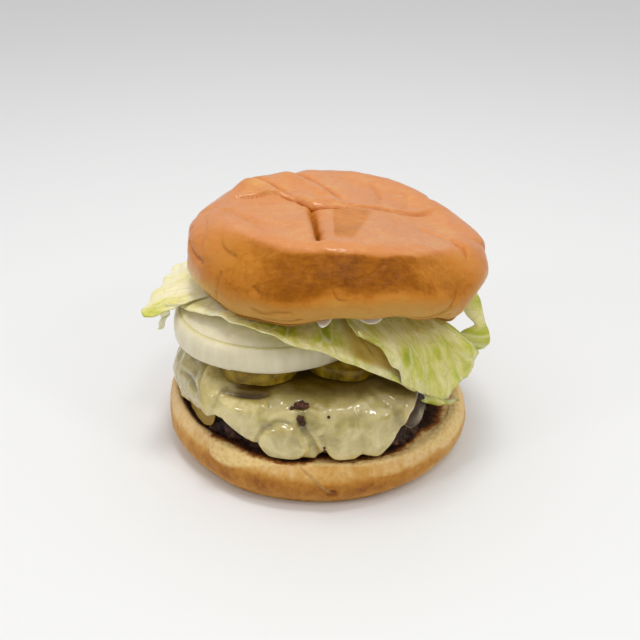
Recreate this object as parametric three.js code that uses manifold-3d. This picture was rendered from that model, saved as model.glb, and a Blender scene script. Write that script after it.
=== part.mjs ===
// A cheeseburger in a split bun, at real size.
// Millimetres, +Z up. The origin is the centre of the flat base of the bottom bun, -Y is its front.
// The bottom bun is cut at a slight slope, and everything that lies on it leans with that cut.

import * as THREE from 'three';
import { mergeVertices } from 'three/addons/utils/BufferGeometryUtils.js';
import Module from 'manifold-3d';

const wasm = await Module();
wasm.setup();

const GAP = 0.35; // clearance between pieces that rest on each other

const HEEL_RADIUS = 55.2;
const HEEL_HEIGHT = 15;
const CUT_SLOPE_DEG = 3;

const PATTY_CENTRE = [-0.6, -0.3];
const PATTY_RADIUS = 47;
const PATTY_HEIGHT = 17.6;
const PATTY_CORNER = 7;
const CRAG_DEPTH = 0.9;
const ROOM_EXTRA = 0.3; // makes up for the flat facets of the room cut out of the cheese

const LOWER_CHEESE_THICK = 1.5;
const UPPER_CHEESE_THICK = 2.5;

const PICKLE_RADIUS = 13.9;
const PICKLE_THICK = 4.4;

const ONION_CENTRE = [-18.3, -2];
const ONION_RADIUS = 37.4;
const ONION_THICK = 8.9;
const ONION_DOME_RISE = 5;

const LEAF_CENTRE = [-1.3, 0];
const LEAF_THICK = 0.9;
const LEAF_LEVEL = 44.8;

const CROWN_CENTRE = [4.2, 1];
const CROWN_RADIUS = 51.7;
const CROWN_DEPTH_RATIO = 0.965; // front to back against side to side
const CROWN_RIM_HEIGHT = 44;
const CROWN_UNDERSIDE = 48.8;
const CROWN_TOP = 69.6;
const CROWN_LEFT_DROP = 3.5; // how much lower its shoulder is at the two sides
const CROWN_RIGHT_DROP = 9;
const CUT_FACE_REACH = 0.84; // its cut face's share of its radius
const CUT_FACE_LIFT = 0.9; // from the rim up to the edge of the cut face

const MAYONNAISE_RADIUS = 36;
const MAYONNAISE_THICK = 1.8;
const MAYONNAISE_EDGE = 0.4; // thickness of its edge against its middle

// ---------------------------------------------------------------- shaping helpers

const TURN = Math.PI * 2;
const radians = THREE.MathUtils.degToRad;
const lerp = THREE.MathUtils.lerp;
const clamp01 = (value) => THREE.MathUtils.clamp(value, 0, 1);

// Rises smoothly from 0 at `from` to 1 at `to`; `from` may be the larger one.
function ease(value, from, to) {
  const t = clamp01((value - from) / (to - from));
  return t * t * (3 - 2 * t);
}

// A bell of height 1 and half-width `width` round zero.
const bell = (offset, width) => Math.exp(-((offset / width) ** 2));

// How far `angle` lies from `at` degrees, in degrees, the short way round.
function degreesFrom(angle, at) {
  const turns = (THREE.MathUtils.radToDeg(angle) - at) / 360;
  return (turns - Math.round(turns)) * 360;
}

// The sum of soft lumps placed round a piece, each { at, width, size } in degrees and millimetres.
function lumpsAt(angle, lumps) {
  return lumps.reduce((sum, lump) => sum + lump.size * bell(degreesFrom(angle, lump.at), lump.width), 0);
}

// Straight-line reading of a list of rows sorted by their first number.
function readRows(rows, key) {
  const next = rows.findIndex((row) => row[0] >= key);
  if (next <= 0) return rows[next === 0 ? 0 : rows.length - 1].slice(1);
  const [before, after] = [rows[next - 1], rows[next]];
  const share = ease(key, before[0], after[0]);
  return after.slice(1).map((value, i) => lerp(before[i + 1], value, share));
}

// Angles round a piece, packed more closely at the front than at the back.
function frontAngle(share) {
  const FRONT_PACKING = 0.35;
  const turned = share - 0.5;
  return (turned - (FRONT_PACKING * Math.sin(TURN * turned)) / TURN) * TURN - Math.PI / 2;
}

const evenAngle = (share) => share * TURN;

const polar = (radius, angle, height, centre = [0, 0]) =>
  new THREE.Vector3(centre[0] + radius * Math.cos(angle), centre[1] + radius * Math.sin(angle), height);

function weld(geometry) {
  geometry.deleteAttribute('normal');
  geometry.deleteAttribute('uv');
  const welded = mergeVertices(geometry, 1e-4);
  welded.computeVertexNormals();
  return welded;
}

// A closed body with a pole at the bottom and one at the top: place(angle, ring) gives each point,
// where ring runs from 0 at the bottom pole to `rings` at the top pole.
function roundBody(segments, rings, place, angleOf = evenAngle) {
  const geometry = new THREE.SphereGeometry(1, segments, rings);
  const { position, uv } = geometry.attributes;
  for (let i = 0; i < position.count; i++) {
    const ring = Math.round(uv.getY(i) * rings);
    const onPole = ring === 0 || ring === rings;
    const share = onPole ? 0 : Math.round(uv.getX(i) * segments) / segments;
    position.setXYZ(i, ...place(angleOf(share % 1), ring).toArray());
  }
  return weld(geometry);
}

// A closed ring: place(angle, step) gives each point, where step runs round the ring's section,
// counter-clockwise as seen with the ring's axis on the left, from its outer side.
function ringBody(segments, steps, place) {
  const geometry = new THREE.TorusGeometry(2, 1, steps, segments);
  const { position, uv } = geometry.attributes;
  for (let i = 0; i < position.count; i++) {
    const angle = (uv.getX(i) % 1) * TURN;
    const step = Math.round(uv.getY(i) * steps) % steps;
    position.setXYZ(i, ...place(angle, step).toArray());
  }
  return weld(geometry);
}

// A thin leaf: middle(u, v) gives its middle surface. Both faces are split into triangles alike.
function leafBody(across, along, middle, thickness) {
  const grid = new THREE.PlaneGeometry(1, 1, across, along);
  const { uv } = grid.attributes;
  const count = uv.count;
  const points = new Float32Array(count * 6);
  const step = 1e-3;
  for (let i = 0; i < count; i++) {
    const [u, v] = [uv.getX(i), uv.getY(i)];
    const [u0, u1] = [Math.max(0, u - step), Math.min(1, u + step)];
    const [v0, v1] = [Math.max(0, v - step), Math.min(1, v + step)];
    const alongU = middle(u1, v).sub(middle(u0, v));
    const alongV = middle(u, v1).sub(middle(u, v0));
    const normal = alongU.cross(alongV).normalize();
    middle(u, v).addScaledVector(normal, thickness / 2).toArray(points, i * 3);
    middle(u, v).addScaledVector(normal, -thickness / 2).toArray(points, (count + i) * 3);
  }
  const faces = Array.from(grid.index.array);
  const back = [];
  for (let i = 0; i < faces.length; i += 3) {
    back.push(faces[i + 2] + count, faces[i + 1] + count, faces[i] + count);
  }
  const row = across + 1;
  const border = [];
  for (let i = 0; i < across; i++) border.push(i);
  for (let i = 0; i < along; i++) border.push(across + i * row);
  for (let i = across; i > 0; i--) border.push(along * row + i);
  for (let i = along; i > 0; i--) border.push(i * row);
  const edge = border.flatMap((a, i) => {
    const b = border[(i + 1) % border.length];
    return [a, b, a + count, b, b + count, a + count];
  });
  const geometry = new THREE.BufferGeometry();
  geometry.setAttribute('position', new THREE.BufferAttribute(points, 3));
  geometry.setIndex([...faces, ...back, ...edge]);
  geometry.computeVertexNormals();
  return geometry;
}

// Turns a body's faces round if they point inwards.
function facingOut(geometry) {
  const { position } = geometry.attributes;
  const index = geometry.index;
  const corner = [0, 1, 2].map(() => new THREE.Vector3());
  let volume = 0;
  for (let i = 0; i < index.count; i += 3) {
    corner.forEach((point, k) => point.fromBufferAttribute(position, index.getX(i + k)));
    volume += corner[0].dot(corner[1].clone().cross(corner[2]));
  }
  if (volume < 0) {
    index.array.reverse();
    geometry.computeVertexNormals();
  }
  return geometry;
}

function piece(name, geometry, color, roughness) {
  const material = new THREE.MeshStandardMaterial({ color, roughness, metalness: 0 });
  const mesh = new THREE.Mesh(facingOut(geometry), material);
  mesh.name = name;
  return mesh;
}

// ---------------------------------------------------------------- bottom bun

// Radius and height of each ring, from the centre of the base to the centre of the cut face.
const HEEL_PROFILE = [
  [0, 0],
  [0.84, 0],
  [0.945, 1.6],
  [0.99, 4.6],
  [1, 8],
  [0.99, 11.6],
  [0.965, 14.4],
  [0.94, 15.4],
  [0.9, 15.2],
  [0.865, 14.7],
  [0.45, 14.7],
  [0, 14.7],
];

const HEEL_LUMPS = [
  { at: -150, width: 22, size: 0.4 },
  { at: -95, width: 14, size: -0.5 },
  { at: -20, width: 24, size: 0.7 },
  { at: 70, width: 30, size: 0.8 },
  { at: 130, width: 18, size: -0.6 },
];

function heel() {
  const slope = Math.tan(radians(CUT_SLOPE_DEG));
  return roundBody(56, HEEL_PROFILE.length - 1, (angle, ring) => {
    const [reach, height] = HEEL_PROFILE[ring];
    const point = polar(reach * (HEEL_RADIUS + lumpsAt(angle, HEEL_LUMPS)), angle, height);
    point.z -= slope * point.x * (height / HEEL_HEIGHT);
    return point;
  });
}

// ---------------------------------------------------------------- beef patty

const PATTY_LUMPS = [
  { at: -134, width: 20, size: 2.2 },
  { at: -88, width: 15, size: -1.4 },
  { at: -52, width: 13, size: 2.3 },
  { at: -24, width: 13, size: -2.6 },
  { at: 20, width: 22, size: 1.0 },
  { at: 68, width: 16, size: -1.2 },
  { at: 105, width: 18, size: 1.4 },
  { at: 165, width: 26, size: 1.6 },
];

const pattyReach = (angle) => PATTY_RADIUS + lumpsAt(angle, PATTY_LUMPS);

// Follows the smooth outside of the patty from its flat top down to its foot. `run` is the distance
// past the edge of the flat top, negative on the top itself, and `off` the distance clear of the meat.
function overPatty(angle, run, off) {
  const flat = pattyReach(angle) - PATTY_CORNER;
  if (run <= 0) return polar(Math.max(0, flat + run), angle, PATTY_HEIGHT + off, PATTY_CENTRE);
  const turn = Math.min(run, CORNER_RUN) / PATTY_CORNER;
  const radius = flat + (PATTY_CORNER + off) * Math.sin(turn);
  const height = PATTY_HEIGHT - PATTY_CORNER + (PATTY_CORNER + off) * Math.cos(turn);
  return polar(radius, angle, height - Math.max(0, run - CORNER_RUN), PATTY_CENTRE);
}

const CORNER_RUN = (PATTY_CORNER * Math.PI) / 2;
const FOOT_RUN = CORNER_RUN + PATTY_HEIGHT - PATTY_CORNER;

// Coarse minced meat: hollows cut into the smooth wall, never standing out of it.
function crag(angle, run) {
  const wave = Math.sin(9 * angle + 0.5 * run) + Math.sin(14 * angle - 0.9 * run + 2);
  return -CRAG_DEPTH * (0.5 + 0.25 * wave);
}

function patty() {
  const FOOT_INSET = 2.4;
  const runs = [FOOT_RUN - 2.2, FOOT_RUN - 6, FOOT_RUN - 9.5, 9, 6.5, 4, 1.5, -3, -22];
  const top = 2 + runs.length;
  return roundBody(54, top, (angle, ring) => {
    if (ring === 0) return polar(0, angle, GAP, PATTY_CENTRE);
    if (ring === 1) return polar(pattyReach(angle) - FOOT_INSET, angle, GAP, PATTY_CENTRE);
    if (ring === top) return polar(0, angle, PATTY_HEIGHT, PATTY_CENTRE);
    const run = runs[ring - 2];
    return overPatty(angle, run, crag(angle, run) * ease(run, -4, 4));
  }, frontAngle);
}

// The room that the patty needs, with its clearance, down to below its foot.
function pattyRoom() {
  const BELOW_FOOT = 4;
  const runs = [FOOT_RUN + BELOW_FOOT, CORNER_RUN, 7.3, 3.7, 0];
  const top = 1 + runs.length;
  return roundBody(48, top, (angle, ring) => {
    if (ring === 0) return polar(0, angle, -BELOW_FOOT, PATTY_CENTRE);
    if (ring === top) return polar(0, angle, PATTY_HEIGHT + GAP, PATTY_CENTRE);
    return overPatty(angle, runs[ring - 1], GAP + ROOM_EXTRA);
  }, frontAngle);
}

// ---------------------------------------------------------------- melted cheese

// How far past the edge of the patty's top each slice hangs: the corners of the square slices hang
// down the side, and melted drips hang lower still.
const LOWER_CORNERS = [
  { at: -158, width: 21, size: 28 },
  { at: -32, width: 14, size: 13 },
  { at: 24, width: 20, size: 15 },
  { at: 112, width: 26, size: 18 },
];

const UPPER_DRIPS = [
  { at: -98, width: 8, size: 5.4 },
  { at: -79, width: 6.5, size: 5 },
  { at: -67, width: 5, size: 2.8 },
  { at: -40, width: 12, size: 6 },
  { at: -2, width: 16, size: 12 },
  { at: 66, width: 22, size: 17 },
];

const CHEESE_EDGE = -2.5;
const LOWEST_HEM = FOOT_RUN - 0.7;

const lowerHem = (angle) => Math.min(CHEESE_EDGE + lumpsAt(angle, LOWER_CORNERS), LOWEST_HEM);

// The front panel of the upper slice: cut straight at its left, slanted at its right.
function frontPanel(angle) {
  const side = degreesFrom(angle, -95);
  return 18.2 * ease(side, -48, -42) * ease(side, 52, 28);
}

const upperHem = (angle) =>
  Math.min(CHEESE_EDGE + frontPanel(angle) + lumpsAt(angle, UPPER_DRIPS), LOWEST_HEM);

// Thick, rounded blobs where the melted cheese gathers.
const UPPER_BLOBS = [
  { at: -101, width: 8, run: 17, length: 7, size: 2.9 },
  { at: -80, width: 7, run: 18, length: 6, size: 2.3 },
  { at: -67, width: 6, run: 17, length: 5, size: 1.5 },
  { at: -134, width: 5, run: 8, length: 7, size: 1.3 },
  { at: -122, width: 6, run: 12, length: 6, size: 0.7 },
];

const LOWER_BLOBS = [
  { at: -168, width: 16, run: 13, length: 8, size: 2.6 },
];

const blobsAt = (angle, run, blobs) => ease(run, -3, 3) * blobs.reduce((sum, blob) =>
  sum + blob.size * bell(degreesFrom(angle, blob.at), blob.width) * bell(run - blob.run, blob.length), 0);

const lowerOuter = (angle, run) => GAP + LOWER_CHEESE_THICK + blobsAt(angle, run, LOWER_BLOBS);

// The upper slice lies over the lower one, and sinks towards the meat past its hem.
function upperOuter(angle, run) {
  const SETTLING = 7;
  const hem = lowerHem(angle);
  const carried = (lowerOuter(angle, run) + GAP) * ease(run, hem + SETTLING, hem);
  return Math.max(carried, GAP) + UPPER_CHEESE_THICK + blobsAt(angle, run, UPPER_BLOBS);
}

// A slice draped over the patty, closed by a plug inside the patty that the fitting cuts away.
// outer(angle, run) is the distance of its upper face from the meat, and hem(angle) where it ends.
function drapedSlice(rings, hem, outer) {
  const DRAPE_START = -8;
  const PLUG_INSET = 1.5; // how far inside the meat the plug runs
  const EDGE_BACK = 0.8;
  const ROUNDING = [[0.3, 0.92], [0, 0.68]]; // set back and share of the thickness of the last two rings
  const top = rings + 2;
  return roundBody(54, top, (angle, ring) => {
    const end = hem(angle);
    if (ring === 0) return polar(0, angle, PATTY_HEIGHT - 2 * PLUG_INSET, PATTY_CENTRE);
    if (ring === 1) return overPatty(angle, end - EDGE_BACK, -PLUG_INSET);
    if (ring === top) return polar(0, angle, PATTY_HEIGHT + outer(0, -PATTY_RADIUS), PATTY_CENTRE);
    const step = top - 1 - ring;
    const last = rings - 1 - step;
    const [back, share] = ROUNDING[1 - last] ?? [0, 1];
    const run = last === 0 ? end : lerp(DRAPE_START, end - EDGE_BACK / 2, step / (rings - 2)) - back;
    return overPatty(angle, run, outer(angle, run) * share);
  }, frontAngle);
}

// What is left of a body after other bodies are cut out of it.
function fitted(geometry, ...tools) {
  const solid = ({ attributes, index }) => new wasm.Manifold(new wasm.Mesh({
    numProp: 3,
    vertProperties: attributes.position.array,
    triVerts: new Uint32Array(index.array),
  }));
  const cut = tools.reduce((body, tool) => body.subtract(solid(facingOut(tool))), solid(facingOut(geometry)));
  const whole = cut.decompose().sort((a, b) => b.volume() - a.volume())[0];
  const { vertProperties, triVerts } = whole.getMesh();
  const result = new THREE.BufferGeometry();
  result.setAttribute('position', new THREE.BufferAttribute(vertProperties, 3));
  result.setIndex(new THREE.BufferAttribute(triVerts, 1));
  return result;
}

function lowerCheese() {
  return fitted(drapedSlice(8, lowerHem, lowerOuter), pattyRoom());
}

function upperCheese() {
  const SIDE_CLEARANCE = 1.6;
  const margin = (angle) => lowerHem(angle) + SIDE_CLEARANCE;
  const lowerRoom = drapedSlice(8, margin, (angle, run) => lowerOuter(angle, run) + GAP + ROOM_EXTRA);
  return fitted(drapedSlice(9, upperHem, upperOuter), pattyRoom(), lowerRoom);
}

const CHEESE_TOP = PATTY_HEIGHT + GAP + LOWER_CHEESE_THICK + GAP + UPPER_CHEESE_THICK;

// ---------------------------------------------------------------- pickles

const PICKLE_PLACES = [[-21.2, -26.3], [7.7, -21], [-27, 9], [4.5, 17]];

const PICKLE_PROFILE = [[0, 0], [0.9, 0], [0.985, 0.14], [1, 0.5], [0.985, 0.86], [0.9, 1], [0, 1]];

function pickle(place, index) {
  const bottom = CHEESE_TOP + GAP;
  return roundBody(22, PICKLE_PROFILE.length - 1, (angle, ring) => {
    const [reach, height] = PICKLE_PROFILE[ring];
    const uneven = 1 + 0.018 * Math.sin(5 * angle + index) + 0.012 * Math.sin(8 * angle);
    return polar(reach * PICKLE_RADIUS * uneven, angle, bottom + height * PICKLE_THICK, place);
  });
}

// ---------------------------------------------------------------- onion

const ONION_BOTTOM = CHEESE_TOP + GAP + PICKLE_THICK + GAP;
const ONION_LUMPS = [{ at: 180, width: 30, size: -4 }, { at: 60, width: 50, size: -1 }];

const onionReach = (angle) => ONION_RADIUS + lumpsAt(angle, ONION_LUMPS);

// The outer layer of the slice, as a ring whose wall leans in at the top.
const ONION_SECTION = [
  [0, 0.5],
  [-0.15, 0.82],
  [-0.9, 1],
  [-2.1, 1],
  [-4.2, 0.5],
  [-4.0, 0],
  [-1.6, 0],
  [-0.4, 0.12],
];

function onionOuter() {
  return ringBody(42, ONION_SECTION.length, (angle, step) => {
    const [inset, height] = ONION_SECTION[step];
    return polar(onionReach(angle) + inset, angle, ONION_BOTTOM + height * ONION_THICK, ONION_CENTRE);
  });
}

// The layers inside it hold together and stand up as a low dome.
const ONION_DOME = [[4.7, 0], [4.8, 0.5], [2.7, 0.99], [3.6, 1.14], [8, 1.34], [18, 1.5]];

function onionInner() {
  const top = ONION_DOME.length + 1;
  const peak = ONION_BOTTOM + ONION_THICK + ONION_DOME_RISE;
  return roundBody(42, top, (angle, ring) => {
    if (ring === 0) return polar(0, angle, ONION_BOTTOM, ONION_CENTRE);
    if (ring === top) return polar(0, angle, peak, ONION_CENTRE);
    const [inset, height] = ONION_DOME[ring - 1];
    const raised = Math.max(0, height - 1) / (ONION_DOME[top - 2][1] - 1);
    const level = ONION_BOTTOM + Math.min(height, 1) * ONION_THICK + raised * ONION_DOME_RISE;
    return polar(onionReach(angle) - inset, angle, level, ONION_CENTRE);
  });
}

// ---------------------------------------------------------------- lettuce

// Each leaf starts between the onion and the top bun and hangs over the side. `hem` lists azimuth,
// radius and height of its free edge, and `knee` how far out it stays level before it turns down.
const LEAVES = [
  {
    name: 'lettuce_left',
    color: 0xdbd8a4,
    cells: [8, 10],
    inner: 10,
    level: LEAF_LEVEL - 1.2,
    knee: [47, 42.3],
    hem: [[150, 50, 38], [164, 56, 36.5], [178, 56, 36], [188, 58.5, 36], [198, 61.5, 35], [203, 52, 38.8]],
    frill: { size: 0.9, count: 9 },
  },
  {
    name: 'lettuce_front',
    color: 0xb9ad62,
    cells: [9, 15],
    inner: 10,
    level: LEAF_LEVEL - 1.2,
    knee: [38, 43.8],
    hem: [[207, 47, 40.2], [217, 44.5, 40.9], [244, 44.5, 42.2], [263, 45.3, 40.6], [282, 45.5, 35],
      [296, 48, 29], [306, 51, 23]],
    frill: { size: 0.4, count: 8 },
  },
  {
    name: 'lettuce_right',
    color: 0xb4ac66,
    cells: [10, 15],
    inner: 16,
    level: LEAF_LEVEL,
    knee: [52, 45],
    hem: [[288, 48, 42], [298, 49, 34], [306, 51, 25.5], [313, 53, 19], [320, 54, 15.5], [325, 57, 14],
      [331, 53.5, 17], [341, 58, 18], [348, 58, 22.5], [353, 55, 27]],
    frill: { size: 0.6, count: 7 },
  },
  {
    name: 'lettuce_tip',
    color: 0xb7b544,
    cells: [9, 7],
    inner: 20,
    level: LEAF_LEVEL - 1.2,
    knee: [63, 43],
    hem: [[354, 54, 24], [361, 58, 20], [368, 62, 19], [380, 62, 22], [392, 55, 30]],
    frill: { size: 0.6, count: 3 },
    notch: { at: 0.72, width: 0.16, size: 10 },
  },
  {
    name: 'lettuce_back',
    color: 0xaeaa5e,
    cells: [8, 13],
    inner: 10,
    level: LEAF_LEVEL - 1.2,
    knee: [50, 43],
    hem: [[400, 53, 30], [418, 56, 25], [436, 54, 24], [452, 53, 28], [470, 55, 27], [488, 53, 32],
      [503, 49, 37]],
    frill: { size: 1.4, count: 13 },
  },
  {
    name: 'lettuce_fold',
    color: 0xa9a454,
    cells: [8, 11],
    inner: 26,
    level: 33,
    knee: [40, 38],
    hem: [[326, 47, 31], [345, 49, 29], [370, 50, 30], [395, 49, 32], [415, 47, 34]],
    frill: { size: 1.6, count: 4 },
  },
];

function leaf({ cells, inner, level, knee, hem, frill, notch }) {
  const first = hem[0][0];
  const last = hem[hem.length - 1][0];
  const middle = (u, v) => {
    const [radius, height] = readRows(hem, lerp(first, last, v));
    const bite = notch ? notch.size * bell(u - notch.at, notch.width) : 0;
    const azimuth = lerp(first + bite, last, v);
    const bend = new THREE.QuadraticBezierCurve(
      new THREE.Vector2(inner, level),
      new THREE.Vector2(...knee),
      new THREE.Vector2(radius, height),
    );
    const at = bend.getPoint(u);
    const angle = radians(azimuth);
    const wave = frill.size * u * u * Math.sin(frill.count * v * TURN);
    return polar(at.x + wave * 0.7, angle, at.y + wave * 0.5, LEAF_CENTRE);
  };
  return leafBody(...cells, middle, LEAF_THICK);
}

// ---------------------------------------------------------------- top bun

// Height of the lower rim round the bun: it rides up over the lettuce at the front.
const RIM_LUMPS = [
  { at: -84, width: 21, size: 7.6 },
  { at: -26, width: 16, size: -0.6 },
  { at: 96, width: 30, size: 2.4 },
];

const rimHeight = (angle) => CROWN_RIM_HEIGHT + lumpsAt(angle, RIM_LUMPS);

const CROWN_LUMPS = [
  { at: -175, width: 14, size: -0.8 },
  { at: -140, width: 18, size: -0.8 },
  { at: -60, width: 20, size: 1 },
  { at: -15, width: 14, size: 0.9 },
  { at: 40, width: 20, size: -1.2 },
  { at: 120, width: 24, size: -1 },
];

// Radius and share of the height from rim to shoulder of each ring above the rim.
const CROWN_PROFILE = [
  [0.9, 0.02],
  [0.955, 0.13],
  [0.99, 0.29],
  [1, 0.45],
  [0.985, 0.62],
  [0.945, 0.79],
  [0.88, 0.92],
  [0.8, 0.99],
  [0.71, 1],
  [0.62, 0.985],
  [0.52, 0.97],
  [0.42, 0.96],
  [0.32, 0.95],
  [0.22, 0.94],
  [0.12, 0.93],
];

// Creases pressed into the top, each a polyline in millimetres from the middle of the bun.
const CREASES = [
  {
    path: [[-34, 11], [-26, 12.6], [-17, 10.5], [-11, 4], [11, 4.3], [28, 2], [35, 8]],
    width: 3.6,
    depth: 2.6,
  },
  { path: [[-10.5, 3], [-9, -8], [-8.5, -27]], width: 3.8, depth: 1.6 },
  { path: [[-14, 32], [-3, 21], [4, 12]], width: 3.6, depth: 1.4 },
  { path: [[-33, 25], [-18, 16.5]], width: 3.6, depth: 1.1 },
];

function distanceToPath(x, y, path) {
  const spot = new THREE.Vector3(x, y, 0);
  const near = new THREE.Vector3();
  let shortest = Infinity;
  for (let i = 1; i < path.length; i++) {
    const span = new THREE.Line3(new THREE.Vector3(...path[i - 1], 0), new THREE.Vector3(...path[i], 0));
    span.closestPointToPoint(spot, true, near);
    shortest = Math.min(shortest, near.distanceTo(spot));
  }
  return shortest;
}

const creaseDepth = (x, y) =>
  CREASES.reduce((sum, { path, width, depth }) => sum + depth * bell(distanceToPath(x, y, path), width), 0);

// Height of the bun's shoulder: highest at the front and back, lower at its two sides.
function shoulderHeight(angle) {
  const drop = Math.cos(angle) < 0 ? CROWN_LEFT_DROP : CROWN_RIGHT_DROP;
  return CROWN_TOP - drop * Math.cos(angle) ** 2;
}

// Height of the cut face, which follows the rim at its edge; `share` is the share of the radius.
const cutFace = (angle, share) =>
  lerp(CROWN_UNDERSIDE, rimHeight(angle) + CUT_FACE_LIFT, (share / CUT_FACE_REACH) ** 2);

function crown() {
  const under = 4; // rings of the cut face below the first ring of the profile
  const top = under + CROWN_PROFILE.length;
  return roundBody(60, top, (angle, ring) => {
    if (ring === 0) return polar(0, angle, CROWN_UNDERSIDE, CROWN_CENTRE);
    if (ring === top) {
      const lastRise = CROWN_PROFILE[CROWN_PROFILE.length - 1][1];
      const middle = lerp(CROWN_RIM_HEIGHT, CROWN_TOP, lastRise) - creaseDepth(0, 0);
      return polar(0, angle, middle, CROWN_CENTRE);
    }
    const reach = CROWN_RADIUS + lumpsAt(angle, CROWN_LUMPS);
    const onFace = ring < under;
    const [share, rise] = onFace ? [(CUT_FACE_REACH * ring) / (under - 1), 0] : CROWN_PROFILE[ring - under];
    const x = share * reach * Math.cos(angle);
    const y = share * reach * Math.sin(angle) * CROWN_DEPTH_RATIO;
    const shoulder = lerp(CROWN_TOP, shoulderHeight(angle), ease(share, 0, 0.8));
    const base = lerp(CROWN_RIM_HEIGHT, rimHeight(angle), ease(share, 0.5, 0.9));
    const dome = lerp(base, shoulder, rise) - creaseDepth(x, y) * ease(share, 0.95, 0.75);
    return new THREE.Vector3(CROWN_CENTRE[0] + x, CROWN_CENTRE[1] + y, onFace ? cutFace(angle, share) : dome);
  }, frontAngle);
}

// ---------------------------------------------------------------- mayonnaise

// A thin smear under the top bun that runs out as far as its front edge.
const MAYONNAISE_LUMPS = [
  { at: -98, width: 6, size: 4.5 },
  { at: -78, width: 9, size: 5.5 },
  { at: -52, width: 8, size: 1.5 },
  { at: -150, width: 12, size: 2 },
];

function mayonnaise() {
  const rings = 3;
  const top = rings * 2 + 1;
  return roundBody(44, top, (angle, ring) => {
    const above = ring > rings;
    const step = above ? top - ring : ring;
    const radius = (step / rings) * (MAYONNAISE_RADIUS + lumpsAt(angle, MAYONNAISE_LUMPS));
    const ceiling = cutFace(angle, radius / CROWN_RADIUS) - GAP;
    const thick = MAYONNAISE_THICK * (step === rings ? MAYONNAISE_EDGE : 1);
    const middle = ceiling - (step === rings ? MAYONNAISE_THICK : thick) / 2;
    const x = radius * Math.cos(angle);
    const y = radius * Math.sin(angle) * CROWN_DEPTH_RATIO;
    const height = middle + (above ? thick : -thick) / 2;
    return new THREE.Vector3(CROWN_CENTRE[0] + x, CROWN_CENTRE[1] + y, height);
  }, frontAngle);
}

// ---------------------------------------------------------------- the burger

const burger = new THREE.Group();
burger.add(piece('heel', heel(), 0xb98a45, 0.72));

const stack = new THREE.Group();
stack.position.z = HEEL_HEIGHT;
stack.rotation.y = radians(CUT_SLOPE_DEG);
burger.add(stack);

stack.add(piece('patty', patty(), 0x3c2416, 0.6));
stack.add(piece('cheese_lower', lowerCheese(), 0xa6956f, 0.32));
stack.add(piece('cheese_upper', upperCheese(), 0xb3a26f, 0.28));
PICKLE_PLACES.forEach((place, i) => stack.add(piece(`pickle_${i + 1}`, pickle(place, i), 0x6a500d, 0.3)));
stack.add(piece('onion_outer', onionOuter(), 0xcfc4a4, 0.35));
stack.add(piece('onion_inner', onionInner(), 0xb0a27a, 0.35));
LEAVES.forEach((row) => stack.add(piece(row.name, leaf(row), row.color, 0.45)));
stack.add(piece('mayonnaise', mayonnaise(), 0xe9e2d2, 0.35));
stack.add(piece('crown', crown(), 0xc38352, 0.45));

export default burger;
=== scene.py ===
# %% [markdown]
# # A cheeseburger, built in layers
# The burger is a stack: bottom bun, beef patty, two slices of melted cheese, pickles, a thick slice of
# onion, lettuce, mayonnaise and the top bun. The frame holds a plain solid for each of them. Here every
# solid gets a finely modelled piece in its place, with the finish that the real food has.

# %% Load the frame
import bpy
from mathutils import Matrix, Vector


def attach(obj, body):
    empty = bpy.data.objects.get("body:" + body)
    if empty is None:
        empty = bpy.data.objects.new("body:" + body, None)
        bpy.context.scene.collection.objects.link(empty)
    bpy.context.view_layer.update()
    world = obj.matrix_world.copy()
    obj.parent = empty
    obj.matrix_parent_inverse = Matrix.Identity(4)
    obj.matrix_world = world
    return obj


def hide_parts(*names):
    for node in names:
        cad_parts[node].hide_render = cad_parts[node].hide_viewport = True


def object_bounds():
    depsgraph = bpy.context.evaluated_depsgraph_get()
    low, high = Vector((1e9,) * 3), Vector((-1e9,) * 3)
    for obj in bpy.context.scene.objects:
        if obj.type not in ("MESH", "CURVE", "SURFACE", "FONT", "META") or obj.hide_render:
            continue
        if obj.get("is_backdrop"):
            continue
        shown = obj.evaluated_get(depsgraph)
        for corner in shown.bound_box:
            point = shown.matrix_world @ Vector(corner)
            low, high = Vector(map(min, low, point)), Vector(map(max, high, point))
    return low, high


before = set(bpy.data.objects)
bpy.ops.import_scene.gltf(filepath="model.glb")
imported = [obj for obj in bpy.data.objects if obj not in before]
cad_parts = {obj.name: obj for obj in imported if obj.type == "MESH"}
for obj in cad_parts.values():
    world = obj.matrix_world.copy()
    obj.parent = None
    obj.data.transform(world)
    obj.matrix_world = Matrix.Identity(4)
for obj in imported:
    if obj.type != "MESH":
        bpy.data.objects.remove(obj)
cad_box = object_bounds()
print("solids:", ", ".join(sorted(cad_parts)))

# %% Tools
import math
import bmesh
import bpy
import numpy as np
from mathutils import Matrix, Vector, noise

# %% [markdown]
# ## Places and sizes
# Everything is worked out in millimetres and scaled to metres at the end. The bottom bun is cut at a
# slope of 3 degrees, so the pieces above it are made upright and then turned with the cut.

# %% The frame of the stack
MM = 0.001
HEEL_HEIGHT = 15
CUT_SLOPE = math.radians(3)
UPRIGHT = Matrix.Identity(4)
LEANING = Matrix.Translation((0, 0, HEEL_HEIGHT)) @ Matrix.Rotation(CUT_SLOPE, 4, "Y")
print("the stack leans by", round(math.degrees(CUT_SLOPE), 1), "degrees from", HEEL_HEIGHT, "mm up")

# %% [markdown]
# ## Working with soft shapes
# Food has no straight edges, so its shapes come from smooth curves through a few measured rows, with
# bells and soft steps laid over them. These helpers take whole arrays of points at once, which keeps
# pieces of some ten thousand points quick to make.

# %% Soft steps and bells
def ease(value, start, end):
    """Rises smoothly from 0 at start to 1 at end; start may be the larger one."""
    t = np.clip((value - start) / (end - start), 0, 1)
    return t * t * (3 - 2 * t)


def bell(offset, width):
    """A bell of height 1 and half-width `width` round zero."""
    return np.exp(-((offset / width) ** 2))


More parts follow.
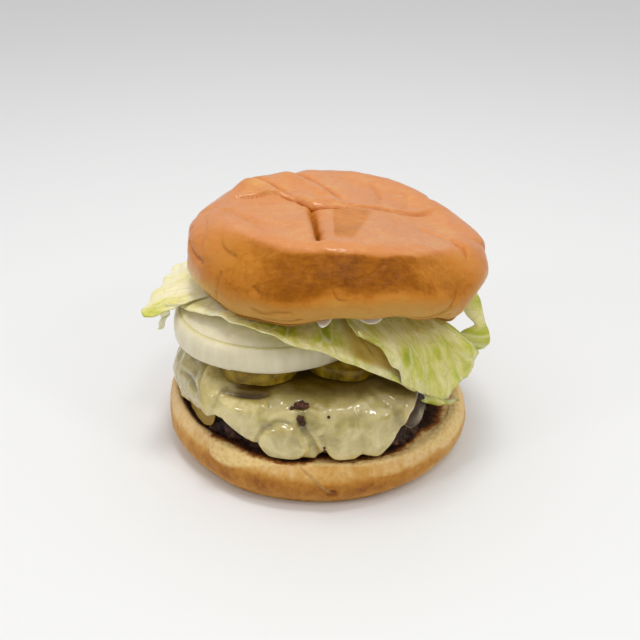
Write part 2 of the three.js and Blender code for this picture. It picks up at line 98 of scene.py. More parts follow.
def degrees_from(angle, at):
    """How far an angle in radians lies from `at` degrees, the short way round, in degrees."""
    turns = (np.degrees(angle) - at) / 360
    return (turns - np.round(turns)) * 360


def lumps_at(angle, lumps):
    """The sum of soft lumps placed round a piece: azimuth, width in degrees, size in millimetres."""
    return sum(size * bell(degrees_from(angle, at), width) for at, width, size in lumps)


# %% Smooth curves through measured rows
def smooth_rows(rows, where):
    """A smooth curve through rows of (place, value, ...), read at the places `where`."""
    table = np.array(rows, float)
    index = np.interp(where, table[:, 0], np.arange(len(table)))
    base = np.clip(index.astype(int), 0, len(table) - 2)
    t = (index - base)[..., None]
    a, b, c, d = (table[np.clip(base + k, 0, len(table) - 1), 1:] for k in (-1, 0, 1, 2))
    curve = 2 * b + (c - a) * t + (2 * a - 5 * b + 4 * c - d) * t**2 + (3 * b - a - 3 * c + d) * t**3
    return np.moveaxis(curve / 2, -1, 0)


def rough(points, size, octaves=3, seed=0):
    """Soft noise of about -1 to 1 at each point, with features of `size` millimetres."""
    shift = Vector((seed * 7.1, seed * 3.7, seed * 5.3))
    return np.array([noise.fractal(Vector(p) / size + shift, 1.0, 2.0, octaves) for p in points])


def pattern(size, seed, *axes):
    """Noise read from two or three coordinates of any kind, such as angle and height."""
    padded = list(axes) + [np.zeros_like(axes[0])] * (3 - len(axes))
    return rough(np.stack(padded, axis=-1), size, 3, seed)


# %% Distance from a drawn line
def along_path(x, y, path):
    """For points x, y: their distance from a smooth line, the side they lie on, and how far along."""
    STEPS = 8
    spans = len(path) - 1
    rows = [(i, *point) for i, point in enumerate(path)]
    line = smooth_rows(rows, np.linspace(0, spans, STEPS * spans + 1))
    start, span = line[:, :-1], np.diff(line)
    dx, dy = x[:, None] - start[0], y[:, None] - start[1]
    t = np.clip((dx * span[0] + dy * span[1]) / (span[0] ** 2 + span[1] ** 2), 0, 1)
    distance = np.hypot(dx - t * span[0], dy - t * span[1])
    nearest = (np.arange(len(x)), distance.argmin(axis=1))
    side = np.sign(span[0] * dy - span[1] * dx)[nearest]
    return distance[nearest], side, (nearest[1] + t[nearest]) / span.shape[1]


def crease(x, y, path, width, depth, lip=0):
    """A pressed-in line that fades at its ends; `lip` raises its left side, or its right if negative."""
    distance, side, share = along_path(x, y, path)
    fade = ease(share, 0, 0.15) * ease(share, 1, 0.85)
    groove = -depth * np.exp(-distance / width)
    raised = abs(lip) * (side * np.sign(lip) > 0) * bell(distance, 4 * width) * ease(distance, 0, width)
    return (groove + raised) * fade


def fold(x, y, path, width, depth, lip=0):
    """Where two soft rolls meet: rounded lips with a sharp crack between them, one lip raised."""
    distance, side, share = along_path(x, y, path)
    fade = ease(share, 0, 0.2) * ease(share, 1, 0.7)
    lean = 1 - np.clip(distance / width, 0, 1)
    crack = -depth * (1 - np.sqrt(np.clip(1 - lean**2, 0, 1)))
    raised = abs(lip) * (side * np.sign(lip) > 0) * bell(distance - 1.2 * width, 1.2 * width)
    return (crack + raised) * fade


def hang_over(x, y, path, reach):
    """How far the roll on the left side of a line hangs over the crack."""
    distance, side, share = along_path(x, y, path)
    return reach * (side > 0) * bell(distance - 1, 1.3) * ease(share, 0, 0.2) * ease(share, 1, 0.8)


def round_line(angle, path, radius):
    """How far round a piece each point lies from a line's middle, and the line itself, in millimetres."""
    per_degree = radius * math.pi / 180
    middle = path[len(path) // 2][0]
    line = [((at - middle) * per_degree, level) for at, level in path]
    return degrees_from(angle, middle) * per_degree, line


def side_dents(angle, height, rows, radius):
    """The sum of creases on the side of a round piece, drawn as lines of azimuth and height."""
    total = np.zeros_like(angle)
    for path, width, depth, lip in rows:
        across, line = round_line(angle, path, radius)
        total = total + crease(across, height, line, width, depth, lip)
    return total


# %% [markdown]
# ## From an operator's sphere or grid to a piece
# A bun, a patty or a slice is a closed round body, so each starts as Blender's own sphere. Its points are
# moved to where a shape function puts them, from the bottom pole to the top pole, and they are packed
# more closely at the front, where the burger is looked at from nearest. Marks are numbers that a shape
# leaves on its points, such as how brown the crust is, for its material to read.

# %% Closed round bodies
FRONT_PACKING = 0.45


def front_packed(angle):
    """Moves evenly spread angles towards the front, which lies at -90 degrees."""
    turned = (angle + math.pi / 2) / math.tau
    turned = turned - np.round(turned)
    return turned * math.tau - FRONT_PACKING * np.sin(turned * math.tau) - math.pi / 2


def place_points(bm, points, values, marks):
    """Moves a mesh's points and writes the marks on them."""
    layers = [bm.verts.layers.float.new(mark) for mark in marks]
    for i, vert in enumerate(bm.verts):
        vert.co = points[i]
        for layer, value in zip(layers, values):
            vert[layer] = value[i]


def round_body(segments, rings, shape, marks=()):
    """A sphere moved by shape(angle, share); share is 0 at the bottom pole and 1 at the top."""
    bm = bmesh.new()
    bmesh.ops.create_uvsphere(bm, u_segments=segments, v_segments=rings, radius=1)
    co = np.array([vert.co for vert in bm.verts])
    angle = front_packed(np.arctan2(co[:, 1], co[:, 0]))
    share = 1 - np.arccos(np.clip(co[:, 2], -1, 1)) / math.pi
    points, *values = shape(angle, share)
    place_points(bm, points, values, marks)
    return bm


def polar(radius, angle, height, centre=(0, 0)):
    """Points from polar coordinates round a centre."""
    x = centre[0] + radius * np.cos(angle)
    y = centre[1] + radius * np.sin(angle)
    return np.stack([x, y, np.broadcast_to(height, x.shape)], axis=-1)


def push_out(points, amount, angle):
    """Moves points level by an amount, each towards its own angle."""
    points[:, 0] += amount * np.cos(angle)
    points[:, 1] += amount * np.sin(angle)


# %% A finished piece
def finish_piece(bm, name, material, nodes=(), lean=LEANING):
    """Turns a mesh in millimetres into a smooth piece of the burger that stands for its solids."""
    bmesh.ops.transform(bm, matrix=Matrix.Scale(MM, 4) @ lean, verts=bm.verts)
    bmesh.ops.recalc_face_normals(bm, faces=bm.faces)
    mesh = bpy.data.meshes.new(name)
    bm.to_mesh(mesh)
    bm.free()
    mesh.shade_smooth()
    mesh.materials.append(material)
    piece = bpy.data.objects.new(name, mesh)
    bpy.context.scene.collection.objects.link(piece)
    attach(piece, "root")
    if nodes:
        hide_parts(*nodes)
    triangles = sum(len(face.vertices) - 2 for face in mesh.polygons)
    size = [round(side / MM, 1) for side in piece.dimensions]
    print(f"{name}: {triangles} triangles, {size} mm")


# %% [markdown]
# ## Working with materials
# Every finish is a node tree round one Principled shader. Colours are written as sRGB hex values, the way
# a colour picker shows them, and turned to linear light by one function. Patterns read Object
# coordinates, which are metres here, so a pattern of 3 mm has a scale of 1 / 0.003. The nodes used most
# have a function each, so that a material reads like a recipe.

# %% Colours and nodes
def linear(hex_colour):
    """An sRGB hex colour as linear red, green, blue and alpha."""
    parts = [int(hex_colour[i:i + 2], 16) / 255 for i in (1, 3, 5)]
    return [c / 12.92 if c <= 0.04045 else ((c + 0.055) / 1.055) ** 2.4 for c in parts] + [1]


def per_mm(size):
    """The scale of a pattern whose features are `size` millimetres."""
    return 1 / (size * MM)


def add(tree, kind, values=(), links=(), stops=(), **settings):
    """Adds a node: its settings, input values, the outputs that feed its inputs, and a ramp's stops."""
    made = tree.nodes.new("ShaderNode" + kind)
    for name, value in settings.items():
        setattr(made, name, value)
    for key, value in dict(values).items():
        made.inputs[key].default_value = value
    for key, source in dict(links).items():
        tree.links.new(source, made.inputs[key])
    for i, (place, colour) in enumerate(stops):
        stop = made.color_ramp.elements[i] if i < 2 else made.color_ramp.elements.new(place)
        stop.position = place
        stop.color = linear(colour)
    return made


def new_material(name, **values):
    """A material with its Principled shader, whose constant sockets are set here."""
    material = bpy.data.materials.new(name)
    material.use_nodes = True
    tree = material.node_tree
    shader = tree.nodes["Principled BSDF"]
    for key, value in values.items():
        shader.inputs[key.replace("_", " ").title().replace("Ior", "IOR")].default_value = value
    print("material:", name)
    return material, tree, shader


# %% The nodes used most
SMOOTH = {"interpolation_type": "SMOOTHSTEP"}


def mark(tree, name):
    """A mark that a shape left on its points."""
    return add(tree, "Attribute", attribute_name=name).outputs["Fac"]


def grain(tree, place, size, detail, roughness=0.5, distortion=0):
    """Cloudy noise with features of `size` millimetres."""
    values = {"Scale": per_mm(size), "Detail": detail, "Roughness": roughness, "Distortion": distortion}
    return add(tree, "TexNoise", values, {"Vector": place}).outputs["Fac"]


def spread(tree, source, start, end, low, high, **settings):
    """A value mapped from start..end to low..high, and held there outside."""
    values = {"From Min": start, "From Max": end, "To Min": low, "To Max": high}
    return add(tree, "MapRange", values, {"Value": source}, **settings).outputs[0]


def ramp(tree, source, *stops):
    """A colour ramp read at a value. Its two outer stops are given first."""
    return add(tree, "ValToRGB", (), {"Fac": source}, stops=stops).outputs["Color"]


def blend(tree, share, first, second):
    """One colour turning into another, which is an output or a hex colour."""
    if isinstance(second, str):
        return add(tree, "Mix", {7: linear(second)}, {0: share, 6: first}, data_type="RGBA").outputs[2]
    return add(tree, "Mix", (), {0: share, 6: first, 7: second}, data_type="RGBA").outputs[2]


def reckon(tree, operation, first, second, **settings):
    """Two values added, multiplied or compared."""
    return add(tree, "Math", (), {0: first, 1: second}, operation=operation, **settings).outputs[0]


def varied(tree, value, *layers):
    """A value varied by layers of noise, each by its own amount up and down."""
    for layer, amount in layers:
        value = reckon(tree, "ADD", value, spread(tree, layer, 0.3, 0.7, -amount, amount))
    return value


def bump(tree, height, strength, distance, under=None):
    """Fine relief, laid over other relief where that is given."""
    links = {"Height": height} if under is None else {"Height": height, "Normal": under}
    return add(tree, "Bump", {"Strength": strength, "Distance": distance}, links).outputs[0]


def feed(tree, shader, **outputs):
    """Links outputs to the shader's inputs of the same name."""
    for name, source in outputs.items():
        tree.links.new(source, shader.inputs[name.replace("_", " ").title()])


# %% [markdown]
# ## Crust: egg-washed brioche
# A soft bun is brushed with egg before baking, so its crust is thin, satin and golden brown. It browns
# most on the shoulder that faces the oven's heat, where it is also painted darker as shade, stays peach on
# top and is paler low on its side, near the rim. The mark `bake` says how far the crust has browned at each
# point, with painted shade added in the creases of the top and in a painted shadow patch on it, and the mark
# `side` where it is dry and more golden, which also paints the front below the ridge darker as shade.

# %% Crust material
def crust_material():
    material, tree, shader = new_material(
        "baked_brioche_crust", ior=1.45, specular_ior_level=0.12, coat_roughness=0.28,
        subsurface_weight=0.05, subsurface_radius=(0.004, 0.002, 0.001))
    place = add(tree, "TexCoord").outputs["Object"]
    bake = mark(tree, "bake")
    side = mark(tree, "side")
    brushed = add(tree, "Mapping", {"Scale": (0.3, 1, 0.8), "Rotation": (0, 0, 0.2)}, {"Vector": place})
    cloudy = grain(tree, place, 12, 5, 0.6)
    mottled = grain(tree, place, 2.4, 6, 0.7, 0.4)
    strokes = grain(tree, brushed.outputs[0], 1.1, 4, 0.6)
    total = varied(tree, bake, (cloudy, 0.12), (mottled, 0.065), (strokes, 0.06))
    peach = ramp(tree, total, (0.0, "#dfb46c"), (1.0, "#8e4a04"), (0.2, "#db9f54"), (0.42, "#d48642"),
                 (0.6, "#d0813c"), (0.8, "#b46a12"))
    # golden: colours of the front below the ridge, drier crust and painted shade, darker than the peach of
    # the top
    golden = ramp(tree, total, (0.0, "#c9984a"), (1.0, "#7c4200"), (0.3, "#c68a3a"), (0.6, "#c27a24"),
                  (0.85, "#9b5904"))
    washed = spread(tree, bake, 0.5, 0.85, 0.85, 0.05)
    not_dry = spread(tree, side, 0, 1, 1, 0.1)
    feed(tree, shader, base_color=blend(tree, side, peach, golden),
         coat_weight=reckon(tree, "MULTIPLY", washed, not_dry),
         roughness=spread(tree, mottled, 0.3, 0.7, 0.33, 0.5),
         normal=bump(tree, mottled, 0.5, 0.0007, bump(tree, strokes, 0.45, 0.0003)))
    return material


CRUST = crust_material()
print("crust roughness 0.33 to 0.5")

# %% [markdown]
# ## The top bun
# The top bun is a soft dome that something heavy has pressed from above: a deep crease runs across the
# top, a valley joins it from the front, and folds lie behind it. A sculptor would push these in by
# hand. Here the dome is a sphere moved to an outline of rows, and each crease is a line drawn on it, with
# a width and a depth, so that it can be moved or deepened by one number.

# %% Outline of the top bun
CROWN_CENTRE = (4.2, 1.0)
CROWN_RADIUS = 51.7
CROWN_DEPTH_RATIO = 0.965
CROWN_RIM_HEIGHT = 44
CROWN_UNDERSIDE = 48.8
CROWN_TOP = 69.4
CROWN_LEFT_DROP = 3.6
CROWN_RIGHT_DROP = 7.6
CUT_FACE_REACH = 0.84
CUT_FACE_LIFT = 0.9
# The azimuth of the flattened, most browned side, which is also painted darker as shade.
CROWN_FACING = -88
RIM_LUMPS = [(-90, 16, 6.4), (-68, 12, 5.6), (-51, 8, 2.2), (-117, 11, 1.0), (-136, 9, -1.1),
             (-37, 8, -1.6), (-23, 9, 3.4), (96, 30, 2.4)]
CROWN_LUMPS = [(-175, 14, -0.8), (-140, 18, -0.8), (-60, 20, 1), (-15, 14, 0.9), (40, 20, -1.2),
               (120, 24, -1)]
# Fuller or slacker places of the side: azimuth, width round, place from rim to shoulder, its width, size.
SHOULDERS = [(178, 18, 0.8, 0.22, 1.3), (-165, 14, 0.8, 0.2, 0.6), (4, 12, 0.9, 0.16, 2.2),
             (0, 18, 0.3, 0.3, -1.7), (24, 14, 0.85, 0.25, 0.6), (-172, 18, 0.1, 0.22, 1.6),
             (160, 14, 0.85, 0.25, -1.0)]

# Place along the outline, share of the radius, share of the height, and whether it is the cut face.
CROWN_OUTLINE = [
    (0.00, 0.00, 0.00, 1), (0.08, 0.84, 0.00, 1), (0.11, 0.90, 0.02, 0), (0.16, 0.955, 0.13, 0),
    (0.22, 0.99, 0.29, 0), (0.28, 1.00, 0.45, 0), (0.35, 0.985, 0.62, 0), (0.42, 0.945, 0.79, 0),
    (0.49, 0.88, 0.92, 0), (0.56, 0.80, 0.99, 0), (0.63, 0.71, 1.00, 0), (0.70, 0.62, 0.985, 0),
    (0.77, 0.52, 0.97, 0), (0.84, 0.40, 0.96, 0), (0.92, 0.22, 0.94, 0), (1.00, 0.00, 0.93, 0),
]

# The front leans back more from its rim to the edge of the pressed top: place, share, share of the height.
CROWN_FRONT = [
    (0.00, 0.00, 0.00), (0.08, 0.83, 0.00), (0.11, 0.885, 0.02), (0.16, 0.935, 0.10), (0.22, 0.96, 0.21),
    (0.28, 0.965, 0.33), (0.34, 0.95, 0.45), (0.39, 0.92, 0.56), (0.44, 0.875, 0.68), (0.49, 0.82, 0.79),
    (0.54, 0.775, 0.885), (0.58, 0.735, 0.965), (0.62, 0.70, 0.995), (0.66, 0.66, 1.01), (0.72, 0.60, 1.0),
    (0.78, 0.52, 0.98), (0.84, 0.40, 0.965), (0.92, 0.22, 0.94), (1.00, 0.00, 0.93),
]


def rim_height(angle):
    return CROWN_RIM_HEIGHT + lumps_at(angle, RIM_LUMPS)


def cut_face(angle, share):
    """Height of the bun's cut face, which follows the rim at its edge."""
    edge = rim_height(angle) + CUT_FACE_LIFT
    return CROWN_UNDERSIDE + (edge - CROWN_UNDERSIDE) * (share / CUT_FACE_REACH) ** 2


print("top bun:", 2 * CROWN_RADIUS, "mm across,", round(CROWN_TOP - CROWN_RIM_HEIGHT, 1), "mm deep")

# %% Creases on the top
# Each: line in millimetres from the middle of the bun, width, depth, raised lip.
MAIN_FOLD = [(-23, 10), (-18.5, 9.2), (-14.6, 7.2), (-12, 4.2), (-9.6, 2.2), (-6, 2.0), (-1, 3.0), (7, 5.4)]
TOP_FOLDS = [
    (MAIN_FOLD, 2.4, 3.8, 1.2),
    ([(2, 4), (10.8, 6), (16, 6.7), (22, 7.5), (26.8, 9), (29.6, 10.6), (32.6, 13.2), (36.5, 17.5)],
     1.6, 2.3, 0.5),
    ([(-10, 4), (-9.2, -3.4), (-8.6, -10.7), (-8.0, -18.5), (-7.4, -25.5), (-6.8, -33.5)], 2.7, 2.7, -0.8),
    ([(-35, 27), (-31, 24.5), (-26, 21.6), (-22, 18), (-17.8, 12.5), (-14, 7)], 3.2, 3.0, -1.5),
    ([(-21, 37), (-15, 32), (-10, 26.5), (-6, 20.6), (-1.6, 14), (2.5, 8.5)], 3.2, 3.3, -1.6),
    ([(-38, 10.6), (-33, 11), (-28, 11.3), (-24, 11.2), (-19, 9.6)], 1.1, 2.3, 0.6),
]
TOP_CREASES = [
    ([(-9.5, 2), (-8.7, -5), (-8.1, -14), (-7.4, -25), (-6.6, -32)], 2.2, 1.4, 0),
    ([(-8.5, 5.5), (-4, 5.2), (1, 5.8), (6, 6.6)], 0.7, 0.7, 0.2),
    ([(12, 30), (15, 20), (14, 10)], 1.5, 0.7, 0.3),
    ([(24, 26), (25, 18), (22, 10)], 1.4, 0.5, 0.2),
    ([(-40, 2), (-34, -6), (-27, -15), (-24, -24)], 2.2, 0.7, 0.2),
    ([(18, 1), (19, -8), (17, -16)], 1.8, 0.4, 0),
    ([(-30, -8), (-26, -14), (-20, -17)], 0.9, 0.3, 0.1),
    ([(26, -4), (32, -6), (36, -10)], 1.2, 0.4, 0.2),
    ([(37.5, -6), (38.4, -9.9), (40.6, -13.1), (41.2, -20)], 1.0, 0.8, 0.5),
]

# Soft hollows (negative) and swellings: place, radius, height.
TOP_SWELLS = [
    ((-24, -6), 14, 1.5), ((-2, -22), 10, 0.9), ((16, -14), 16, 1.2), ((-8, 12), 9, 0.8),
    ((10, 27), 14, -1.7), ((-26, 18), 7, 0.9), ((-17, 38), 4, -2.0), ((-2, 40), 12, -1.3),
    ((-42, 6), 5, -0.8), ((-32, 25), 8, 1.9), ((42, 10), 9, 0.3), ((36, 24), 8, 0.4),
    ((-14.5, -40), 5, -1.1), ((13, -40), 4, -1.0), ((0, -38), 9, 0.9), ((26, -36), 9, 0.8),
    ((4, -12), 7, -0.5), ((30, 28), 10, 0.2), ((-42, 20), 8, -1.0), ((39, -13), 2.4, -0.5),
    ((42.5, -19), 2.6, -0.5), ((44, -12), 3, 0.5), ((-5, -32), 4, 0.5),
]
print(len(TOP_FOLDS), "folds and", len(TOP_CREASES), "creases on the top")

# %% Creases on the sides
# Each: line of (azimuth, height above the cut of the bottom bun), width, depth, lip.
SIDE_CREASES = [
    ([(-69.5, 68.4), (-70.8, 67.6), (-72.8, 65.8), (-76, 64.9), (-80.8, 63.8), (-85, 63.4)], 0.5, 0.55, 0.5),
    ([(-94.4, 66), (-94, 64.2), (-93.5, 60.9), (-91.5, 58.9), (-88, 58.4)], 0.5, 0.45, 0.35),
    ([(-140.2, 57.5), (-140.3, 54.8), (-140.5, 51.6), (-142.2, 46.8)], 0.45, 1.4, 0.3),
    ([(-136, 60), (-134, 55), (-131, 50)], 0.5, 0.4, 0.1),
    ([(-124, 50.5), (-118, 50), (-112, 51.6), (-106, 53)], 0.8, 0.9, -0.5),
    ([(-120, 48), (-111, 48.6), (-102, 51)], 0.6, 0.8, -0.4),
    ([(-116, 47), (-106, 48.2), (-98, 51)], 0.5, 0.5, -0.3),
    ([(-124, 57), (-119, 55.5)], 0.9, 0.7, 0.2),
    ([(-66, 51.4), (-58, 50), (-51, 50.4), (-45, 52.5), (-40, 56)], 0.7, 0.9, -0.5),
    ([(-60, 47.5), (-52, 47.5), (-45, 49)], 0.5, 0.6, -0.3),
    ([(-188, 66), (-182, 64.6), (-176, 63.9), (-166, 64), (-159.2, 62.6), (-155, 60), (-152.8, 56)],
     1.2, 2.2, 1.1),
    ([(-166, 59.5), (-160, 57.6), (-155, 56.8), (-150, 57.4)], 0.9, 1.6, 0.7),
    ([(-174, 62), (-169, 58), (-167, 53), (-169, 48)], 1.0, 1.4, 0.7),
    ([(-154, 66), (-149, 63.4), (-143, 61.9), (-136, 61.6)], 1.3, 0.9, 0.5),
    ([(-133, 62), (-129, 58), (-131, 53)], 0.7, 0.4, 0.3),
    ([(170, 68), (176, 60), (172, 52)], 1.8, 1.4, 0.6),
    ([(148, 66), (152, 58), (147, 51)], 1.6, 1.0, 0.5),
    ([(-6, 62), (-3, 57), (-7, 51)], 1.4, 1.0, 0.5),
    ([(9, 60), (14, 55), (11, 49)], 1.4, 0.9, 0.5),
    ([(38, 66), (42, 58), (36, 51)], 1.6, 1.0, 0.4),
    ([(78, 69), (74, 61), (80, 53)], 1.5, 1.0, 0.4),
    ([(112, 68), (116, 60), (108, 52)], 1.5, 0.9, 0.4),
]
print(len(SIDE_CREASES), "creases on the sides")

# %% Shape of the top bun
def crown_shape(angle, share):
    reach_share, rise, face = smooth_rows(CROWN_OUTLINE, share)
    front_share, front_rise = smooth_rows(CROWN_FRONT, share)
    off_front = degrees_from(angle, CROWN_FACING)
    front = ease(np.abs(off_front), 78, 36)
    reach_share = np.clip(reach_share + (front_share - reach_share) * front, 0, 1.01)
    rise = rise + (front_rise - rise) * front
    reach = CROWN_RADIUS + lumps_at(angle, CROWN_LUMPS)
    fuller = sum(size * bell(degrees_from(angle, at), wide) * bell(rise - level, tall)
                 for at, wide, level, tall, size in SHOULDERS)
    radius = reach_share * reach + fuller * ease(reach_share, 0.5, 0.8)
    x = radius * np.cos(angle)
    y = radius * np.sin(angle) * CROWN_DEPTH_RATIO
    rim = rim_height(angle)
    drop = np.where(np.cos(angle) < 0, CROWN_LEFT_DROP, CROWN_RIGHT_DROP) * np.cos(angle) ** 2
    shoulder = CROWN_TOP - drop * ease(reach_share, 0, 0.8)
    base = CROWN_RIM_HEIGHT + (rim - CROWN_RIM_HEIGHT) * ease(reach_share, 0.5, 0.9)
    outside = base + (shoulder - base) * rise
    height = outside + (cut_face(angle, reach_share) - outside) * np.clip(face, 0, 1)

    on_top = ease(reach_share, 1.0, 0.84) * (share > 0.3)
    pressed = sum(crease(x, y, *row) for row in TOP_CREASES) + sum(fold(x, y, *row) for row in TOP_FOLDS)
    swollen = sum(size * bell(np.hypot(x - at[0], y - at[1]), wide) for at, wide, size in TOP_SWELLS)
    height = height + (pressed + swollen * 0.8) * on_top

    on_side = ease(share, 0.09, 0.16) * ease(share, 0.60, 0.50)
    dents = side_dents(angle, height, SIDE_CREASES, CROWN_RADIUS)
    points = polar(np.hypot(x, y), np.arctan2(y, x), height, CROWN_CENTRE)
    points[:, 1] -= hang_over(x, y, MAIN_FOLD, 1.3) * on_top
    soft = rough(points, 11, 3, 2)
    fine = rough(points, 3.5, 3, 5)
    outward = dents * on_side + (0.35 * soft + 0.12 * fine) * ease(share, 0.09, 0.2) * (1 - on_top)
    push_out(points, outward, angle)
    points[:, 2] += (0.3 * soft + 0.16 * fine) * on_top

    above_rim = points[:, 2] - rim + 0.8 * soft
    # Painted shade: the band below the ridge is browner crust and is also painted darker as shade, most at
    # the front.
    faced = bell(off_front, 44)
    band = ease(above_rim, 5.5, 12) * ease(reach_share + 0.01 * soft, 0.72, 0.765)
    bake = 0.04 + 0.37 * ease(above_rim, 2, 12) + (0.1 + 0.42 * faced) * band
    # Painted shade: the crust is painted darker in the creases and folds of the top.
    bake = bake + 0.42 * np.clip(-pressed / 2, 0, 1) * on_top
    # Painted shadow: a patch on the top, right of the valley, painted darker and more golden as a cast
    # shadow with no sheen.
    to_right = np.interp(y, [-28, 4], [3.5, 11.5])
    glazed = ease(x, -3.2, -1.8) * ease(x, to_right + 1.2, to_right - 1.2)
    glazed = glazed * ease(y, -31, -25) * ease(y, 5, 2)
    bake = bake + 0.24 * glazed * on_top
    # side paints the front below the ridge darker and more golden as shade, and the shadow patch on top too.
    side = ease(share, 0.60, 0.52) * ease(np.abs(off_front), 85, 45)
    return points, np.clip(bake, 0, 1), np.maximum(side, 0.35 * glazed * on_top)


crown = round_body(420, 190, crown_shape, ["bake", "side"])
finish_piece(crown, "top_bun", CRUST, ["crown"])

# %% [markdown]
# ## Crumb and crust of the bottom bun
# The bottom bun shows two breads at once: golden crust round the side, and the pale, open crumb of the
# cut, which is toasted brown where the patty's juices lie. One material blends them by three marks:
# `crust`, `toast` and `bake`.

# %% Bottom bun material
def heel_material():
    material, tree, shader = new_material(
        "cut_brioche_crumb", ior=1.45, specular_ior_level=0.35, subsurface_weight=0.08,
        subsurface_radius=(0.004, 0.0025, 0.0015))
    place = add(tree, "TexCoord").outputs["Object"]
    crust = mark(tree, "crust")
    drawn = add(tree, "Mapping", {"Scale": (1, 1, 0.75)}, {"Vector": place}).outputs[0]
    baked = varied(tree, mark(tree, "bake"), (grain(tree, drawn, 2.2, 6, 0.65), 0.15),
                   (grain(tree, place, 9, 4), 0.12))
    golden = ramp(tree, baked, (0.0, "#ecc88e"), (1.0, "#8e4c08"), (0.3, "#d8a658"), (0.6, "#c4862e"),
                  (0.8, "#ae6e1a"))
    pores = add(tree, "TexVoronoi", {"Scale": per_mm(1.5), "Randomness": 1}, {"Vector": place})
    hole = pores.outputs["Distance"]
    # Painted shade: the crumb is painted darker in the middle of each pore.
    open_crumb = ramp(tree, hole, (0.0, "#dcae66"), (1.0, "#f4d698"), (0.22, "#eac680"))
    toasted = varied(tree, mark(tree, "toast"), (grain(tree, place, 2.5, 6, 0.7), 0.22))
    burnt = ramp(tree, toasted, (0.1, "#c48c44"), (1.0, "#32180a"), (0.45, "#9c5e20"), (0.75, "#5e3212"))
    crumb = blend(tree, spread(tree, toasted, 0.05, 0.4, 0, 1), open_crumb, burnt)
    skin = bump(tree, grain(tree, drawn, 0.8, 5, 0.65), 0.5, 0.0004)
    feed(tree, shader, base_color=blend(tree, crust, crumb, golden),
         roughness=spread(tree, crust, 0, 1, 0.85, 0.5), normal=bump(tree, hole, 0.5, 0.0006, skin))
    return material


BUN_CRUMB = heel_material()
print("crumb pores of 1.5 mm")

# %% [markdown]
# ## The bottom bun
# The bottom bun is a flat cushion with a rounded side. Its cut slopes down to the right. A crack with a
# curled edge of crust runs down the front, and a rim of open crumb stands round the toasted middle.

# %% Outline of the bottom bun
HEEL_RADIUS = 55.2
HEEL_LUMPS = [(-150, 22, 0.4), (-95, 14, -0.5), (-20, 24, 0.7), (70, 30, 0.8), (130, 18, -0.6),
              (-135, 9, -0.4)]
# Where the crust ends: azimuth, place along the outline. And how far the toasted middle reaches.
CRUST_EDGE = [(-180, 0.50), (-165, 0.55), (-150, 0.555), (-134, 0.55), (-131.6, 0.38), (-127, 0.34),
              (-122, 0.35), (-115, 0.40), (-106, 0.465),
              (-95, 0.53), (-80, 0.53), (-69, 0.50), (-60, 0.48), (-52, 0.455), (-42, 0.415), (-25, 0.35),
              (-17, 0.40), (0, 0.42), (40, 0.47), (90, 0.44), (130, 0.48), (180, 0.45)]
TOAST_EDGE = [(-180, 52), (-165, 53.6), (-155, 53.8), (-147, 53.8), (-140, 53.6), (-134, 53), (-130, 51.6),
              (-127, 51.2),
              (-121, 50.8), (-115, 52), (-107, 52.1), (-101, 52.4), (-95, 50.8), (-89, 47.2), (-79, 49.1),
              (-63, 49.7), (-57, 50.2), (-47, 48), (-38, 47.5), (-32, 49.2), (-24, 48.8), (-17, 47.9),
              (10, 49), (60, 50.5), (110, 49), (150, 51.5), (180, 51)]

# Place along the outline, share of the radius, height.
HEEL_OUTLINE = [
    (0.00, 0.00, 0.0), (0.06, 0.84, 0.0), (0.10, 0.945, 1.6), (0.18, 0.99, 4.6), (0.28, 1.00, 8.0),
    (0.38, 0.99, 11.6), (0.47, 0.965, 14.4), (0.53, 0.94, 15.4), (0.60, 0.90, 15.2), (0.68, 0.865, 14.7),
    (0.90, 0.45, 14.7), (1.00, 0.00, 14.7),
]
HEEL_CREASES = [
    ([(-97, 15.4), (-92.5, 13.2), (-88.5, 10), (-85.5, 7)], 0.5, 0.7, 0.9),
    ([(-88, 8.2), (-84.8, 8.4), (-83.4, 6.9), (-85, 5.8), (-87.6, 6.4)], 0.5, 0.8, 0.4),
    ([(-131, 16), (-131.6, 12), (-131, 7)], 0.6, 0.5, 0.2),
    ([(-70, 11), (-60, 10), (-48, 10.6)], 0.8, 0.3, 0.2),
    ([(-150, 12), (-140, 11)], 0.8, 0.3, 0.2),
    ([(20, 12), (30, 9), (44, 10)], 0.9, 0.5, 0.3),
    ([(110, 12), (120, 8), (135, 9)], 0.9, 0.5, 0.3),
]
print("bottom bun:", 2 * HEEL_RADIUS, "mm across,", HEEL_HEIGHT, "mm high")

